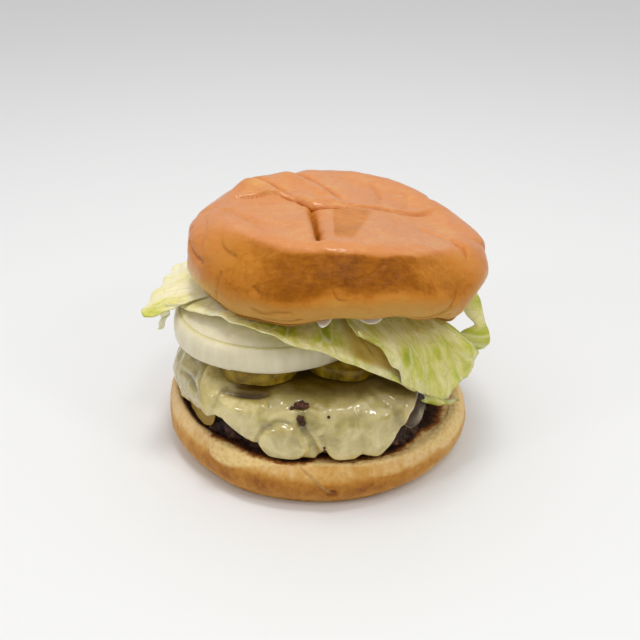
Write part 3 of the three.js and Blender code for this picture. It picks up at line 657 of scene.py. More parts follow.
# %% Shape of the bottom bun
def heel_shape(angle, share):
    reach_share, height = smooth_rows(HEEL_OUTLINE, share)
    radius = np.clip(reach_share, 0, 1.01) * (HEEL_RADIUS + lumps_at(angle, HEEL_LUMPS))
    dents = side_dents(angle, height, HEEL_CREASES, HEEL_RADIUS)
    on_side = ease(share, 0.06, 0.14) * ease(share, 0.60, 0.5)
    points = polar(radius, angle, np.maximum(height, 0))
    soft = rough(points, 10, 3, 11)
    fine = rough(points, 2.2, 3, 12)
    torn = rough(points, 1.3, 3, 13)
    on_cut = ease(share, 0.47, 0.56)
    points = polar(radius + on_side * (dents + 0.3 * soft + 0.14 * fine), angle, points[:, 2])
    points[:, 2] += on_cut * (0.22 * fine + 0.2 * torn + 0.2 * soft)
    slope = math.tan(CUT_SLOPE)
    points[:, 2] -= slope * points[:, 0] * np.clip(points[:, 2] / HEEL_HEIGHT, 0, 1)
    points[:, 2] = np.maximum(points[:, 2], 0)

    azimuth = degrees_from(angle, 0)
    edge = smooth_rows(CRUST_EDGE, azimuth)[0] + 0.015 * soft
    crust = 1 - ease(share, edge - 0.015, edge + 0.03)
    across, split = round_line(angle, HEEL_CREASES[0][0], HEEL_RADIUS)
    distance, _, along = along_path(across, height, split)
    crust = crust * (1 - 0.7 * bell(distance, 0.5) * ease(along, 1, 0.85))
    toasted = smooth_rows(TOAST_EDGE, azimuth)[0] + 0.5 * soft + 0.4 * fine
    toast = 0.85 * (1 - ease(radius, toasted - 3.6, toasted + 1.1))
    toast = toast + 0.15 * (1 - ease(radius, toasted, toasted + 2.6))
    bake = 0.58 + 0.2 * bell(share - 0.28, 0.1) - 0.35 * ease(share, 0.33, 0.42)
    bake = bake - 0.12 * ease(share, 0.14, 0.08)
    bake = bake - 0.22 * bell(degrees_from(angle, -155), 26) - 0.45 * bell(degrees_from(angle, -22), 30)
    loop = bell(degrees_from(angle, -85), 1.3) * bell(height - 7.2, 1.3)
    bake = bake + 0.45 * loop
    return points, crust, toast * (share > 0.5), np.clip(bake, 0, 1)


heel = round_body(420, 120, heel_shape, ["crust", "toast", "bake"])
finish_piece(heel, "bottom_bun", BUN_CRUMB, ["heel"], UPRIGHT)

# %% [markdown]
# ## Minced beef
# Fried mince is made of short strands pressed together. Its crust is purple brown on the strands and is
# painted nearly black in the hollows as shade, with a wet sheen of fat. The relief is real geometry in three
# sizes, and the material adds the colour of the strands, the painted shade of the hollows, and the wet
# gloss.

# %% Beef material
def beef_material():
    material, tree, shader = new_material("fried_minced_beef", ior=1.42, specular_ior_level=0.25,
                                          coat_weight=0.12, coat_roughness=0.15)
    place = add(tree, "TexCoord").outputs["Object"]
    strands = grain(tree, place, 1.6, 6, 0.7)
    light = reckon(tree, "MULTIPLY", strands, grain(tree, place, 7, 3))
    # Painted shade: the meat is painted darker where its hollows are.
    shaded = reckon(tree, "SUBTRACT", light, spread(tree, mark(tree, "hollow"), 0, 1, 0, 0.22))
    colour = ramp(tree, shaded, (0.02, "#160a06"), (0.4, "#7c5038"), (0.14, "#361e16"), (0.26, "#523224"))
    feed(tree, shader, base_color=colour, roughness=spread(tree, strands, 0.3, 0.7, 0.62, 0.36),
         normal=bump(tree, strands, 0.8, 0.0007))
    return material


BEEF = beef_material()
print("beef strands of about 1.6 mm")

# %% The patty's smooth outside
GAP = 0.35
PATTY_CENTRE = (-0.6, -0.3)
PATTY_RADIUS = 47
PATTY_HEIGHT = 17.6
PATTY_CORNER = 7
PATTY_LUMPS = [(-134, 20, 2.2), (-88, 15, -1.4), (-52, 13, 2.3), (-24, 13, -2.6), (20, 22, 1.0),
               (68, 16, -1.2), (105, 18, 1.4), (165, 26, 1.6)]
CORNER_RUN = PATTY_CORNER * math.pi / 2
FOOT_RUN = CORNER_RUN + PATTY_HEIGHT - PATTY_CORNER
# Run this far inwards, a point of any azimuth has come to the middle.
FAR_IN = 60


def patty_reach(angle):
    return PATTY_RADIUS + lumps_at(angle, PATTY_LUMPS)


def over_patty(angle, run, off):
    """Points over the patty: `run` past the edge of its flat top and down its side, `off` clear of it."""
    turn = np.clip(run, 0, CORNER_RUN) / PATTY_CORNER
    flat = patty_reach(angle) - PATTY_CORNER
    radius = np.maximum(0, flat + np.minimum(run, 0)) + (PATTY_CORNER + off) * np.sin(turn)
    height = PATTY_HEIGHT - PATTY_CORNER + (PATTY_CORNER + off) * np.cos(turn)
    return polar(radius, angle, height - np.maximum(0, run - CORNER_RUN), PATTY_CENTRE)


print("from the edge of the patty's top to its foot:", round(FOOT_RUN, 1), "mm")


# %% Shape of the patty
def patty_shape(angle, share):
    BOTTOM = 0.12
    run = np.interp(share, [0, BOTTOM, 0.7, 1], [FOOT_RUN, FOOT_RUN, -2, -FAR_IN])
    points = over_patty(angle, run, np.zeros_like(angle))
    under = ease(share, BOTTOM, 0)
    points[:, :2] = PATTY_CENTRE + (points[:, :2] - PATTY_CENTRE) * (1 - under)[:, None]
    points[:, 2] = np.maximum(points[:, 2], GAP)
    strands = np.abs(rough(points, 2.6, 2, 21))
    clods = rough(points, 6.5, 2, 22)
    crumbs = rough(points, 1.1, 2, 23)
    hollow = 0.5 - 0.5 * clods + 1.1 * (0.35 - strands)
    sunk = -np.clip(0.95 + 1.2 * (hollow - 0.5) - 0.5 * crumbs, 0, 2.9)
    sunk = sunk * ease(share, 0, BOTTOM) * ease(share, 0.95, 0.7)
    outward = np.where(run < CORNER_RUN, np.sin(np.clip(run, 0, CORNER_RUN) / PATTY_CORNER), 1)
    upward = np.where(run < CORNER_RUN, np.cos(np.clip(run, 0, CORNER_RUN) / PATTY_CORNER), 0)
    push_out(points, sunk * outward, angle)
    points[:, 2] += sunk * upward
    points[:, 2] = np.maximum(points[:, 2], GAP)
    # hollow also paints the meat darker as shade in its hollows.
    return points, np.clip(hollow, 0, 1)


patty = round_body(420, 130, patty_shape, ["hollow"])
finish_piece(patty, "beef_patty", BEEF, ["patty"])

# %% [markdown]
# ## Melted cheese
# A warm slice of mild cheese slumps over the meat like a thick liquid. It is ivory, slightly see-through
# where it is thin, so the meat greys it there, and very shiny where its fat has come out. Its dark olive
# along the top edge of the meat is partly fat and partly painted shadow under the pickles and onion, and the
# slit under the pickles is painted dark as shade. Light goes a few millimetres into it, which is what makes
# its lobes look soft. Gathered blobs hang at the hem.

# %% Cheese material
def cheese_material(name, body_colour, oil_colour):
    material, tree, shader = new_material(
        name, ior=1.46, specular_ior_level=0.3, subsurface_weight=0.35, subsurface_scale=1.0,
        subsurface_radius=(0.0035, 0.0026, 0.0012), coat_roughness=0.05, coat_ior=1.8)
    place = add(tree, "TexCoord").outputs["Object"]
    # oily: oil, and on the upper slice painted shadow along the top edge of the meat; film also paints the
    # slit dark as shade.
    oily = mark(tree, "oily")
    film = mark(tree, "film")
    speck = grain(tree, place, 2.2, 4, 0.6)
    grey = spread(tree, grain(tree, place, 8, 4, 0.55, 0.6), 0.42, 0.68, 0, 0.5)
    body = ramp(tree, reckon(tree, "ADD", grey, mark(tree, "thin"), use_clamp=True), (0.0, body_colour),
                (1.0, "#766840"), (0.35, "#bfad66"), (0.7, "#9c8c50"))
    meat = ramp(tree, speck, (0.35, "#200e08"), (0.65, "#502e1a"))
    dull = reckon(tree, "MAXIMUM", oily, film)
    gloss = spread(tree, speck, 0.35, 0.65, 0.14, 0.36)
    feed(tree, shader, base_color=blend(tree, film, blend(tree, oily, body, oil_colour), meat),
         coat_weight=spread(tree, dull, 0, 1, 0.9, 0.1),
         roughness=reckon(tree, "ADD", gloss, spread(tree, dull, 0, 1, 0, 0.35)),
         normal=bump(tree, grain(tree, place, 5, 2, 0.45), 0.7, 0.0018, bump(tree, speck, 0.12, 0.0005)))
    return material


# The upper slice's dark olive is partly painted shadow; the lower slice's amber is oil.
CHEESE = cheese_material("melted_mild_cheese", "#dfce8e", "#614900")
CHEESE_ON_TOAST = cheese_material("mild_cheese_over_toast", "#b4a25c", "#9c7a1e")
print("light goes about 3 mm into the cheese")

# %% Hems of the two slices
LOWER_THICK = 1.5
UPPER_THICK = 2.5
LOWEST_HEM = FOOT_RUN - 0.7
# Where each slice ends: azimuth in degrees, millimetres past the edge of the meat's top.
UPPER_HEM = [
    (-180, 4), (-165, 1), (-152, -2), (-147, -1), (-144.5, 1.5), (-142, 4.5), (-139.5, 6.8), (-136.2, 9.4),
    (-133.5, 11.4), (-131, 11.8), (-128.5, 11.2), (-125.5, 12.2), (-122.2, 14.4),
    (-118.5, 15.8), (-114.5, 16.8), (-111.5, 17.3), (-109.5, 19), (-107, 20.8), (-104, 21), (-92, 21),
    (-90.3, 20.9), (-89, 19.6), (-86.5, 18), (-84.2, 19.8), (-82.5, 20.9), (-75.8, 20.9), (-73.5, 19.4),
    (-70, 19.8), (-66.2, 20.8), (-63.8, 18.8), (-61, 15.5), (-59, 12.5), (-57, 9.6), (-54, 7.6), (-50.5, 6),
    (-46, 4.5), (-38, 3.5), (-25, 1), (-12, 6), (-2, 9.5), (8, 7), (20, 0), (32, -2.5), (45, 3), (66, 14.5),
    (85, 6), (100, -1), (120, -2.5), (150, -2), (165, 1), (180, 4),
]
LOWER_HEM = [
    (-180, 3), (-176, 10), (-172, 18), (-168, 20.9), (-160, 20.9), (-150, 20.9), (-142, 20.6), (-137, 19.8),
    (-133.5, 17), (-131.5, 10), (-129, 2), (-124, -2.5), (-66, -2.5), (-60, 2), (-57, 8), (-54, 12),
    (-50, 13.5), (-46, 12), (-42, 9), (-36, 9.5), (-32, 10.5), (-24, 6), (-18, -1), (0, 0), (12, 8),
    (24, 12.5), (36, 8), (50, 0), (70, -2), (90, 6), (112, 15.5), (134, 6), (155, -1), (170, -1), (180, 3),
]


def hem_at(angle, rows, seed):
    """Where a slice ends, with a slightly ragged edge."""
    ragged = 0.35 * pattern(5, seed, np.degrees(angle))
    return np.minimum(smooth_rows(rows, degrees_from(angle, 0))[0] + ragged, LOWEST_HEM)


def lower_hem(angle):
    return hem_at(angle, LOWER_HEM, 31)


def upper_hem(angle):
    return hem_at(angle, UPPER_HEM, 32)


# %% Blobs and folds
# Gathered cheese: azimuth, run, width round, length down, size, all in degrees and millimetres.
UPPER_BLOBS = [
    (-80, 17, 6.5, 6, 1.7), (-67, 15, 6, 6, 1.3), (-73, 11, 7, 6, 0.9), (-88, 13, 4, 7, 0.4),
    (-115, 12, 5, 5, 1.0), (-122, 8.5, 8, 3, 0.6), (-127, 9, 5, 3, 0.4), (-99.5, 6.8, 5, 2.0, 0.5),
    (-84, 5.2, 6, 2.6, 0.5), (-77, 4.4, 6, 2.4, 0.5), (-65, 6, 5.5, 2.8, 1.0), (-54, 6, 5, 4, 0.5),
    (60, 8, 14, 7, 1.1), (0, 5, 10, 4, 0.7),
]
UPPER_HOLLOWS = [
    (-96.8, 4.2, 2.4, 1.4, -1.4), (-96.2, 7.6, 1.6, 1.8, -1.4), (-69.5, 8.5, 2.2, 3, -0.4),
    (-129.5, 10, 2.4, 5, -0.5), (-60, 9, 2.5, 4, -0.4), (-119, 9.5, 4, 2, -0.4),
]
LOWER_BLOBS = [(-168, 13, 12, 8, 3.0), (-160, 5.5, 4, 2.6, 0.9), (-150, 12, 3.6, 3, 0.8),
               (-153, 3, 3.5, 2, 0.5), (-144, 6, 3, 2.6, 0.5), (-157, 15, 3, 2.6, 0.6),
               (-141, 11.5, 2.6, 2.4, 0.5), (-50, 8, 9, 6, -0.8)]
LOWER_LINES = [([(-161, 9.6), (-157, 8.8), (-151.2, 8.2), (-147.2, 8.5), (-143, 9.1)], 0.7, -0.9),
               ([(-152, 9), (-152.6, 12), (-151.6, 15)], 0.6, -0.6),
               ([(-161, 9), (-163, 12), (-161.6, 16)], 0.7, -0.7)]
# Where the flap at the left ends, and only an oily film goes on over the toast: azimuth, run.
FLAP_END = [(-172, 23), (-167.5, 22), (-163, 21), (-155.2, 18.5), (-149, 16.9), (-143, 15.4), (-138.5, 13.4),
            (-135.8, 12.2), (-131, 9)]
# Creased lines in the upper slice: line of (azimuth, run), width, height (negative presses it in).
SLIT = [(-132, 5.0), (-125.5, 4.3), (-119.2, 3.4), (-114, 2.6), (-110, 1.3)]
UPPER_LINES = [
    ([(-109.5, 10.5), (-106.5, 7), (-100, 5.4), (-93.5, 4.9), (-87, 6.3)], 0.6, 0.5),
    ([(-113, 17), (-111.4, 13), (-109, 9.8), (-104, 8.2), (-98, 8.6)], 0.7, -0.9),
    ([(-145, -1), (-141.5, 2.6), (-138, 5.6), (-134.5, 8.2), (-130.5, 9.6), (-126, 10)], 2.0, 1.2),
    ([(-134, 5.8), (-129, 6.4), (-124, 6.8), (-119, 7), (-113.5, 6.2), (-109, 5)], 1.6, 1.1),
    ([(-88, 5.4), (-84, 4.9), (-79.2, 4.7), (-74.5, 3.7), (-69.8, 2.5), (-64.8, 1.7)], 1.1, 0.8),
    ([(-72, 6.6), (-68, 7), (-64, 7.2), (-60, 5.6)], 1.2, 0.5),
    ([(-96.5, 9), (-92.8, 12), (-90.4, 16), (-88.4, 20)], 1.3, -1.0),
    ([(-86, 20), (-86.8, 15), (-88.4, 10.5)], 1.0, -0.9),
    ([(-72.8, 21), (-72, 15), (-74, 10)], 0.9, -0.5),
    ([(-64.5, 18), (-66, 13), (-64, 9)], 0.9, -0.4),
    ([(-82, 12), (-79, 8), (-74, 6)], 1.2, 0.35),
]
# The fullest lobe: azimuth, run, width round, length down, size.
BIG_LOBE = (-102, 15, 9.5, 6.7, 1.9)
print(len(UPPER_BLOBS + LOWER_BLOBS), "blobs and", len(UPPER_LINES + LOWER_LINES), "lines in the cheese")


def near_line(angle, run, path, width, taper=0.12):
    """1 on a line of azimuth and run, falling to 0 at its sides and ends."""
    MIDDLE, PER_DEGREE = -95, 0.86
    line = [((at - MIDDLE) * PER_DEGREE, down) for at, down in path]
    distance, _, share = along_path(degrees_from(angle, MIDDLE) * PER_DEGREE, run, line)
    return bell(distance, width) * ease(share, 0, taper) * ease(share, 1, 1 - taper)


def lines_at(angle, run, lines):
    """The sum of raised or pressed lines at points of the slice."""
    return sum(size * near_line(angle, run, path, width) for path, width, size in lines)


def lobe_at(angle, run, at, down, wide, long, size):
    """A full lobe: nearly level on top, steep round its rim."""
    away = np.hypot(degrees_from(angle, at) / wide, (run - down) / long)
    return size * ease(away, 1.12, 0.78) * (1 - 0.25 * np.minimum(away, 1) ** 2)


def blobs_at(angle, run, blobs):
    total = sum(size * bell(degrees_from(angle, at), wide) * bell(run - down, long)
                for at, down, wide, long, size in blobs)
    return total * ease(run, -3, 2)


def lower_outer(angle, run):
    return GAP + LOWER_THICK + np.maximum(0, blobs_at(angle, run, LOWER_BLOBS))


def carried_by_lower(angle, run):
    """How far the upper slice is lifted off the meat by the slice under it."""
    SETTLING = 5
    hem = lower_hem(angle)
    return np.maximum(GAP, (lower_outer(angle, run) + 0.1) * ease(run, hem + SETTLING, hem + 0.5))


# %% Shape of a draped slice
def draped(hem, under, thick, bead, stains, lumpy):
    """A slice that follows the patty: out along its underside, round its rounded hem, and back."""
    START = -10
    MIDDLE_END, UNDERSIDE_END, HEM_END, TOP_END, LAST = 0.06, 0.3, 0.42, 0.93, 0.07

    def shape(angle, share):
        end = hem(angle)
        below = share < UNDERSIDE_END
        outside = share > UNDERSIDE_END
        slack = np.interp(share, [0, MIDDLE_END, UNDERSIDE_END], [1, 0.8, 0])
        round_edge = np.interp(share, [UNDERSIDE_END, HEM_END], [0, bead])
        inwards = np.interp(share, [HEM_END, TOP_END], [0, 1])
        run_top = end - round_edge - (end - round_edge - START) * inwards
        run_top = np.where(share > TOP_END, START - FAR_IN * (share - TOP_END) / LAST, run_top)
        run_below = end - (end - START) * slack - FAR_IN * np.interp(share, [0, MIDDLE_END], [1, 0])
        run = np.where(below, run_below, run_top)
        edge = np.sqrt(np.clip(1 - (1 - round_edge / bead) ** 2, 0, 1))
        off_under = under(angle, run)
        off = np.where(below, off_under, off_under + thick(angle, run) * edge)
        points = over_patty(angle, run, off)
        swirl = rough(points, 7, 3, 41) * lumpy + rough(points, 2.6, 2, 42) * lumpy / 4
        lift = swirl * outside * ease(run, -9, -2) * edge
        points = over_patty(angle, run, off + lift)
        thin = np.clip(0.45 - (off - off_under - 1.6) * 0.3, 0, 0.6) * outside
        oily, film = stains(angle, run, end)
        return points, thin, oily * outside, film * outside
    return shape


def upper_thick(angle, run):
    lumpy = blobs_at(angle, run, UPPER_BLOBS) + blobs_at(angle, run, UPPER_HOLLOWS)
    lumpy = lumpy + lines_at(angle, run, UPPER_LINES) + lobe_at(angle, run, *BIG_LOBE)
    lumpy = lumpy - 1.7 * near_line(angle, run, SLIT, 0.8, 0.45)
    return np.maximum(0.5, UPPER_THICK + lumpy)


def upper_stains(angle, run, end):
    """The fat has come out along the top edge of the meat, most at the right corner, and the dark olive
    there is partly painted shadow; the slit is painted dark as shade.
    """
    front = bell(degrees_from(angle, -92), 44)
    corner = bell(degrees_from(angle, -50), 9) * ease(run, 8, 3)
    # Painted shadow: the olive along the top edge and at the right corner is partly shade under the pickles
    # and onion.
    along_top = front * (0.85 * ease(run, 4.0, -1.0) + 0.2 * ease(run, 9, 2))
    oily = along_top + 0.8 * corner + 0.7 * near_line(angle, run + 1.2, SLIT, 2.2, 0.35)
    # Painted shade: the slit is given the dark meat colour of the film.
    return np.clip(oily, 0, 1), 0.9 * near_line(angle, run, SLIT, 0.6, 0.45)


def past_flap(angle, run):
    """1 where the flap at the left has ended and only its film goes on."""
    azimuth = degrees_from(angle, 0)
    flap = np.interp(azimuth, [row[0] for row in FLAP_END], [row[1] for row in FLAP_END])
    return ease(run, flap - 0.5, flap + 0.6) * ease(azimuth, -128, -131) * ease(azimuth, -172, -168)


def lower_stains(angle, run, end):
    """Amber oil past the flap at the left, and a film at the right with the meat seen through it."""
    right = ease(degrees_from(angle, -45), -20, -14) * ease(degrees_from(angle, -45), 34, 28)
    patch = bell(degrees_from(angle, -47), 3) * bell(run - 10.5, 2.2)
    film = right * ease(end - run, 0.3, 0.9) * np.clip(0.96 - 0.6 * patch, 0, 1)
    return 0.95 * past_flap(angle, run), film


def lower_thick(angle, run):
    thick = LOWER_THICK + blobs_at(angle, run, LOWER_BLOBS) + lines_at(angle, run, LOWER_LINES)
    film = past_flap(angle, run)
    return np.maximum(0.45, thick * (1 - film) + 0.5 * film)


def on_meat(angle, run):
    return np.full_like(angle, GAP)


lower = round_body(360, 120, draped(lower_hem, on_meat, lower_thick, 1.2, lower_stains, 0.5),
                   ["thin", "oily", "film"])
finish_piece(lower, "under_slice", CHEESE_ON_TOAST, ["cheese_lower"])
upper = round_body(480, 170, draped(upper_hem, carried_by_lower, upper_thick, 1.8, upper_stains, 0.3),
                   ["thin", "oily", "film"])
finish_piece(upper, "melted_slice", CHEESE, ["cheese_upper"])

# %% [markdown]
# ## Crumbs of beef
# Bits of the patty break through the cheese and lie in small holes of it. They are spheres with a rough
# surface, laid at the places of the holes and pressed half into the cheese.

# %% Beef crumbs
# Azimuth, run, clear of the meat, radius, all in degrees and millimetres.
CRUMBS = [(-98.5, 4.2, 3.0, 1.1), (-96.6, 3.8, 3.3, 1.3), (-95.0, 4.0, 3.2, 1.0), (-100.4, 4.8, 3.0, 0.7),
          (-96.6, 7.0, 2.9, 1.1), (-95.6, 8.0, 2.9, 0.9), (-85.8, 6.4, 4.1, 0.45), (-86.3, 16.4, 1.6, 1.4)]
# Painted shade: the crumbs are painted a little darker, as in the meat's hollows.
CRUMB_HOLLOW = 0.25


def beef_crumbs():
    bm = bmesh.new()
    for at, run, off, radius in CRUMBS:
        angle = np.array([math.radians(at)])
        centre = over_patty(angle, np.array([run]), np.array([off]))[0]
        there = Matrix.Translation(centre)
        made = bmesh.ops.create_icosphere(bm, subdivisions=4, radius=radius, matrix=there)
        for vert in made["verts"]:
            away = vert.co - Vector(centre)
            bumpy = 1 + 0.35 * noise.fractal(vert.co * 1.1, 1.0, 2.0, 3)
            vert.co = Vector(centre) + away * bumpy
    layer = bm.verts.layers.float.new("hollow")
    for vert in bm.verts:
        vert[layer] = CRUMB_HOLLOW
    return bm


finish_piece(beef_crumbs(), "beef_crumbs", BEEF)

# %% [markdown]
# ## Pickle slices
# Pickled cucumber is olive all through, darker at the skin, and wet with brine. The slices are thin
# discs with an uneven edge. Only the front ones show, under the onion, but four lie on the burger.

# %% Pickle material
def pickle_material():
    material, tree, shader = new_material(
        "pickled_cucumber", ior=1.38, roughness=0.3, specular_ior_level=0.3, subsurface_weight=0.2,
        subsurface_radius=(0.002, 0.0022, 0.0006), coat_weight=0.12, coat_roughness=0.1)
    flesh = grain(tree, add(tree, "TexCoord").outputs["Object"], 3, 5)
    pale = ramp(tree, flesh, (0.3, "#7d6206"), (0.7, "#c0a020"), (0.5, "#9c7f0e"))
    dark = ramp(tree, flesh, (0.3, "#5c4606"), (0.7, "#a08214"))
    feed(tree, shader, base_color=blend(tree, mark(tree, "skin"), pale, dark),
         normal=bump(tree, flesh, 0.3, 0.0006))
    return material


PICKLE = pickle_material()

# %% Shape of a pickle slice
PICKLE_PLACES = [(-20.5, -26.2), (7.7, -21.4), (-27, 9), (4.5, 17)]
PICKLE_RADIUS = 13.9
PICKLE_THICK = 4.4
CHEESE_TOP = PATTY_HEIGHT + GAP + LOWER_THICK + GAP + UPPER_THICK
PICKLE_OUTLINE = [(0.0, 0.0, 0.0), (0.3, 0.9, 0.0), (0.37, 0.985, 0.14), (0.5, 1.0, 0.5),
                  (0.63, 0.985, 0.86), (0.7, 0.9, 1.0), (1.0, 0.0, 1.0)]


def pickle_shape(place, index):
    def shape(angle, share):
        reach, level = smooth_rows(PICKLE_OUTLINE, share)
        uneven = 1 + 0.018 * np.sin(5 * angle + index) + 0.012 * np.sin(8 * angle)
        warty = 0.25 * pattern(9, 50 + index, np.degrees(angle), 6 * level) * bell(level - 0.5, 0.5)
        points = polar(np.maximum(0, reach) * PICKLE_RADIUS * uneven + warty * (reach > 0.5), angle,
                       CHEESE_TOP + GAP + np.clip(level, 0, 1) * PICKLE_THICK, place)
        points[:, 2] += 0.12 * rough(points, 4, 2, 55) * bell(reach, 0.7)
        return points, ease(reach, 0.86, 0.97)
    return shape


for i, place in enumerate(PICKLE_PLACES):
    slice_mesh = round_body(120, 40, pickle_shape(place, i), ["skin"])
    finish_piece(slice_mesh, f"pickle_slice_{i + 1}", PICKLE, [f"pickle_{i + 1}"])

# %% [markdown]
# ## Onion
# A thick slice of white onion: one strong outer layer stands like a wall, and the layers inside it have
# risen as a low dome. Onion flesh is watery and lets light in, so it looks like frosted glass, with very
# faint lines where its veins run up through the slice and a green tint at the joint of the layers.

# %% Onion material
def onion_material():
    material, tree, shader = new_material(
        "white_onion_flesh", ior=1.38, roughness=0.32, specular_ior_level=0.5, subsurface_weight=0.4,
        subsurface_radius=(0.004, 0.0036, 0.0024), coat_weight=0.15, coat_roughness=0.15)
    place = add(tree, "TexCoord").outputs["Object"]
    upright = add(tree, "Mapping", {"Scale": (1, 1, 0.08)}, {"Vector": place})
    veins = grain(tree, upright.outputs[0], 2.4, 3)
    flesh = ramp(tree, veins, (0.3, "#e0d6b4"), (0.7, "#ebe2c6"), (0.5, "#e6dcbc"))
    tinted = blend(tree, mark(tree, "joint"), flesh, "#c9c06a")
    feed(tree, shader, base_color=blend(tree, mark(tree, "shade"), tinted, "#c9b786"),
         normal=bump(tree, veins, 0.12, 0.0006))
    return material


ONION = onion_material()

# %% The outer layer
ONION_CENTRE = (-18.3, -2.0)
ONION_RADIUS = 37.4
ONION_THICK = 8.9
ONION_BOTTOM = CHEESE_TOP + GAP + PICKLE_THICK + GAP
ONION_LUMPS = [(180, 30, -4), (60, 50, -1)]
# Place round the section, inset from the outer side, share of the thickness.
WALL_SECTION = [(0, 0.0, 0.36), (1, -0.12, 0.6), (2, -0.6, 0.8), (3, -1.4, 0.94), (4, -2.2, 1.0),
                (5, -2.9, 0.97), (6, -4.2, 0.5), (7, -4.0, 0.0), (8, -1.6, 0.0), (9, -0.35, 0.1),
                (10, 0.0, 0.36)]


def onion_reach(angle):
    return ONION_RADIUS + lumps_at(angle, ONION_LUMPS)


def sag_onion(points):
    """The slice gives way where nothing carries it: to the left, and a little to the front."""
    points[:, 2] -= 0.03 * np.clip(-10 - points[:, 0], 0, None)
    points[:, 2] -= 0.8 * ease(points[:, 1], -12, -36)


def onion_wall():
    """The section is bent from a circle and spun, then each point is moved to the layer's uneven reach."""
    SEGMENTS, STEPS, SPUN_RADIUS = 300, 60, 4
    bm = bmesh.new()
    upright = Matrix.Rotation(math.pi / 2, 4, "X")
    circle = bmesh.ops.create_circle(bm, segments=STEPS, radius=1, matrix=upright)
    for vert in circle["verts"]:
        vert.co.x += SPUN_RADIUS
    bmesh.ops.spin(bm, geom=bm.verts[:] + bm.edges[:], axis=(0, 0, 1), cent=(0, 0, 0), angle=math.tau,
                   steps=SEGMENTS, use_merge=True)
    co = np.array([vert.co for vert in bm.verts])
    angle = np.arctan2(co[:, 1], co[:, 0])
    turn = np.arctan2(co[:, 2], np.hypot(co[:, 0], co[:, 1]) - SPUN_RADIUS) / math.tau
    inset, level = smooth_rows(WALL_SECTION, (turn % 1) * WALL_SECTION[-1][0])
    bowed = 0.25 * np.sin(3 * angle + 1) + 0.2 * np.sin(7 * angle)
    points = polar(onion_reach(angle) + inset + bowed * (inset > -2.5), angle,
                   ONION_BOTTOM + np.clip(level, 0, 1) * ONION_THICK, ONION_CENTRE)
    points[:, 2] += 0.12 * pattern(12, 61, np.degrees(angle), level * 4) * ease(level, 0.2, 0.9)
    sag_onion(points)
    joint = 0.5 * ease(inset, -1.5, -2.4) * ease(level, 0.5, 0.95)
    joint = joint + 0.5 * bell(degrees_from(angle, 176), 14) * ease(level, 0.3, 0.9)
    shade = 0.15 * ease(level, 0.25, 0.0)
    place_points(bm, points, [np.clip(joint, 0, 1), shade], ["joint", "shade"])
    return bm


finish_piece(onion_wall(), "onion_wall", ONION, ["onion_outer"])

# %% The risen inner layers
ONION_DOME_RISE = 5
DOME_OUTLINE = [(0.0, 60, 0.0), (0.2, 4.9, 0.0), (0.3, 4.8, 0.5), (0.42, 2.8, 0.95), (0.5, 3.4, 1.08),
                (0.6, 5.4, 1.2), (0.7, 9, 1.36), (0.85, 18, 1.5), (1.0, 60, 1.53)]


def dome_shape(angle, share):
    inset, level = smooth_rows(DOME_OUTLINE, share)
    radius = np.clip(onion_reach(angle) - inset, 0, None) * ease(share, 0, 0.05) * ease(share, 1, 0.97)
    raised = np.clip((level - 1) / 0.53, 0, 1)
    height = ONION_BOTTOM + np.clip(level, 0, 1) * ONION_THICK + raised * ONION_DOME_RISE
    points = polar(radius, angle, height, ONION_CENTRE)
    points[:, 2] += 0.3 * rough(points, 18, 2, 62) * ease(share, 0.4, 0.6)
    sag_onion(points)
    shade = 0.35 * ease(points[:, 0], -30, 6) + 0.1
    joint = 0.35 * bell(degrees_from(angle, 190), 18) * bell(share - 0.5, 0.1)
    return points, joint, np.clip(shade, 0, 1)


dome = round_body(240, 80, dome_shape, ["joint", "shade"])
finish_piece(dome, "onion_heart", ONION, ["onion_inner"])

# %% [markdown]
# ## Iceberg lettuce
# Iceberg leaves are crisp and pale, with broad white ribs that fan out and a net of finer veins, and they
# are green only towards their edges. A leaf is a thin sheet, so it starts as a grid that is bent over the
# burger, ruffled more and more towards its free edge, and then given its thickness.

# %% Lettuce material
def cells(tree, place, squeeze, size):
    """How far a point of a leaf lies from the edge of long cells, which are `size` millimetres wide."""
    squeezed = add(tree, "Mapping", {"Scale": (squeeze, 1, 1)}, {"Vector": place})
    return add(tree, "TexVoronoi", {"Scale": 1 / size, "Randomness": 1}, {"Vector": squeezed.outputs[0]},
               feature="DISTANCE_TO_EDGE", voronoi_dimensions="2D").outputs["Distance"]


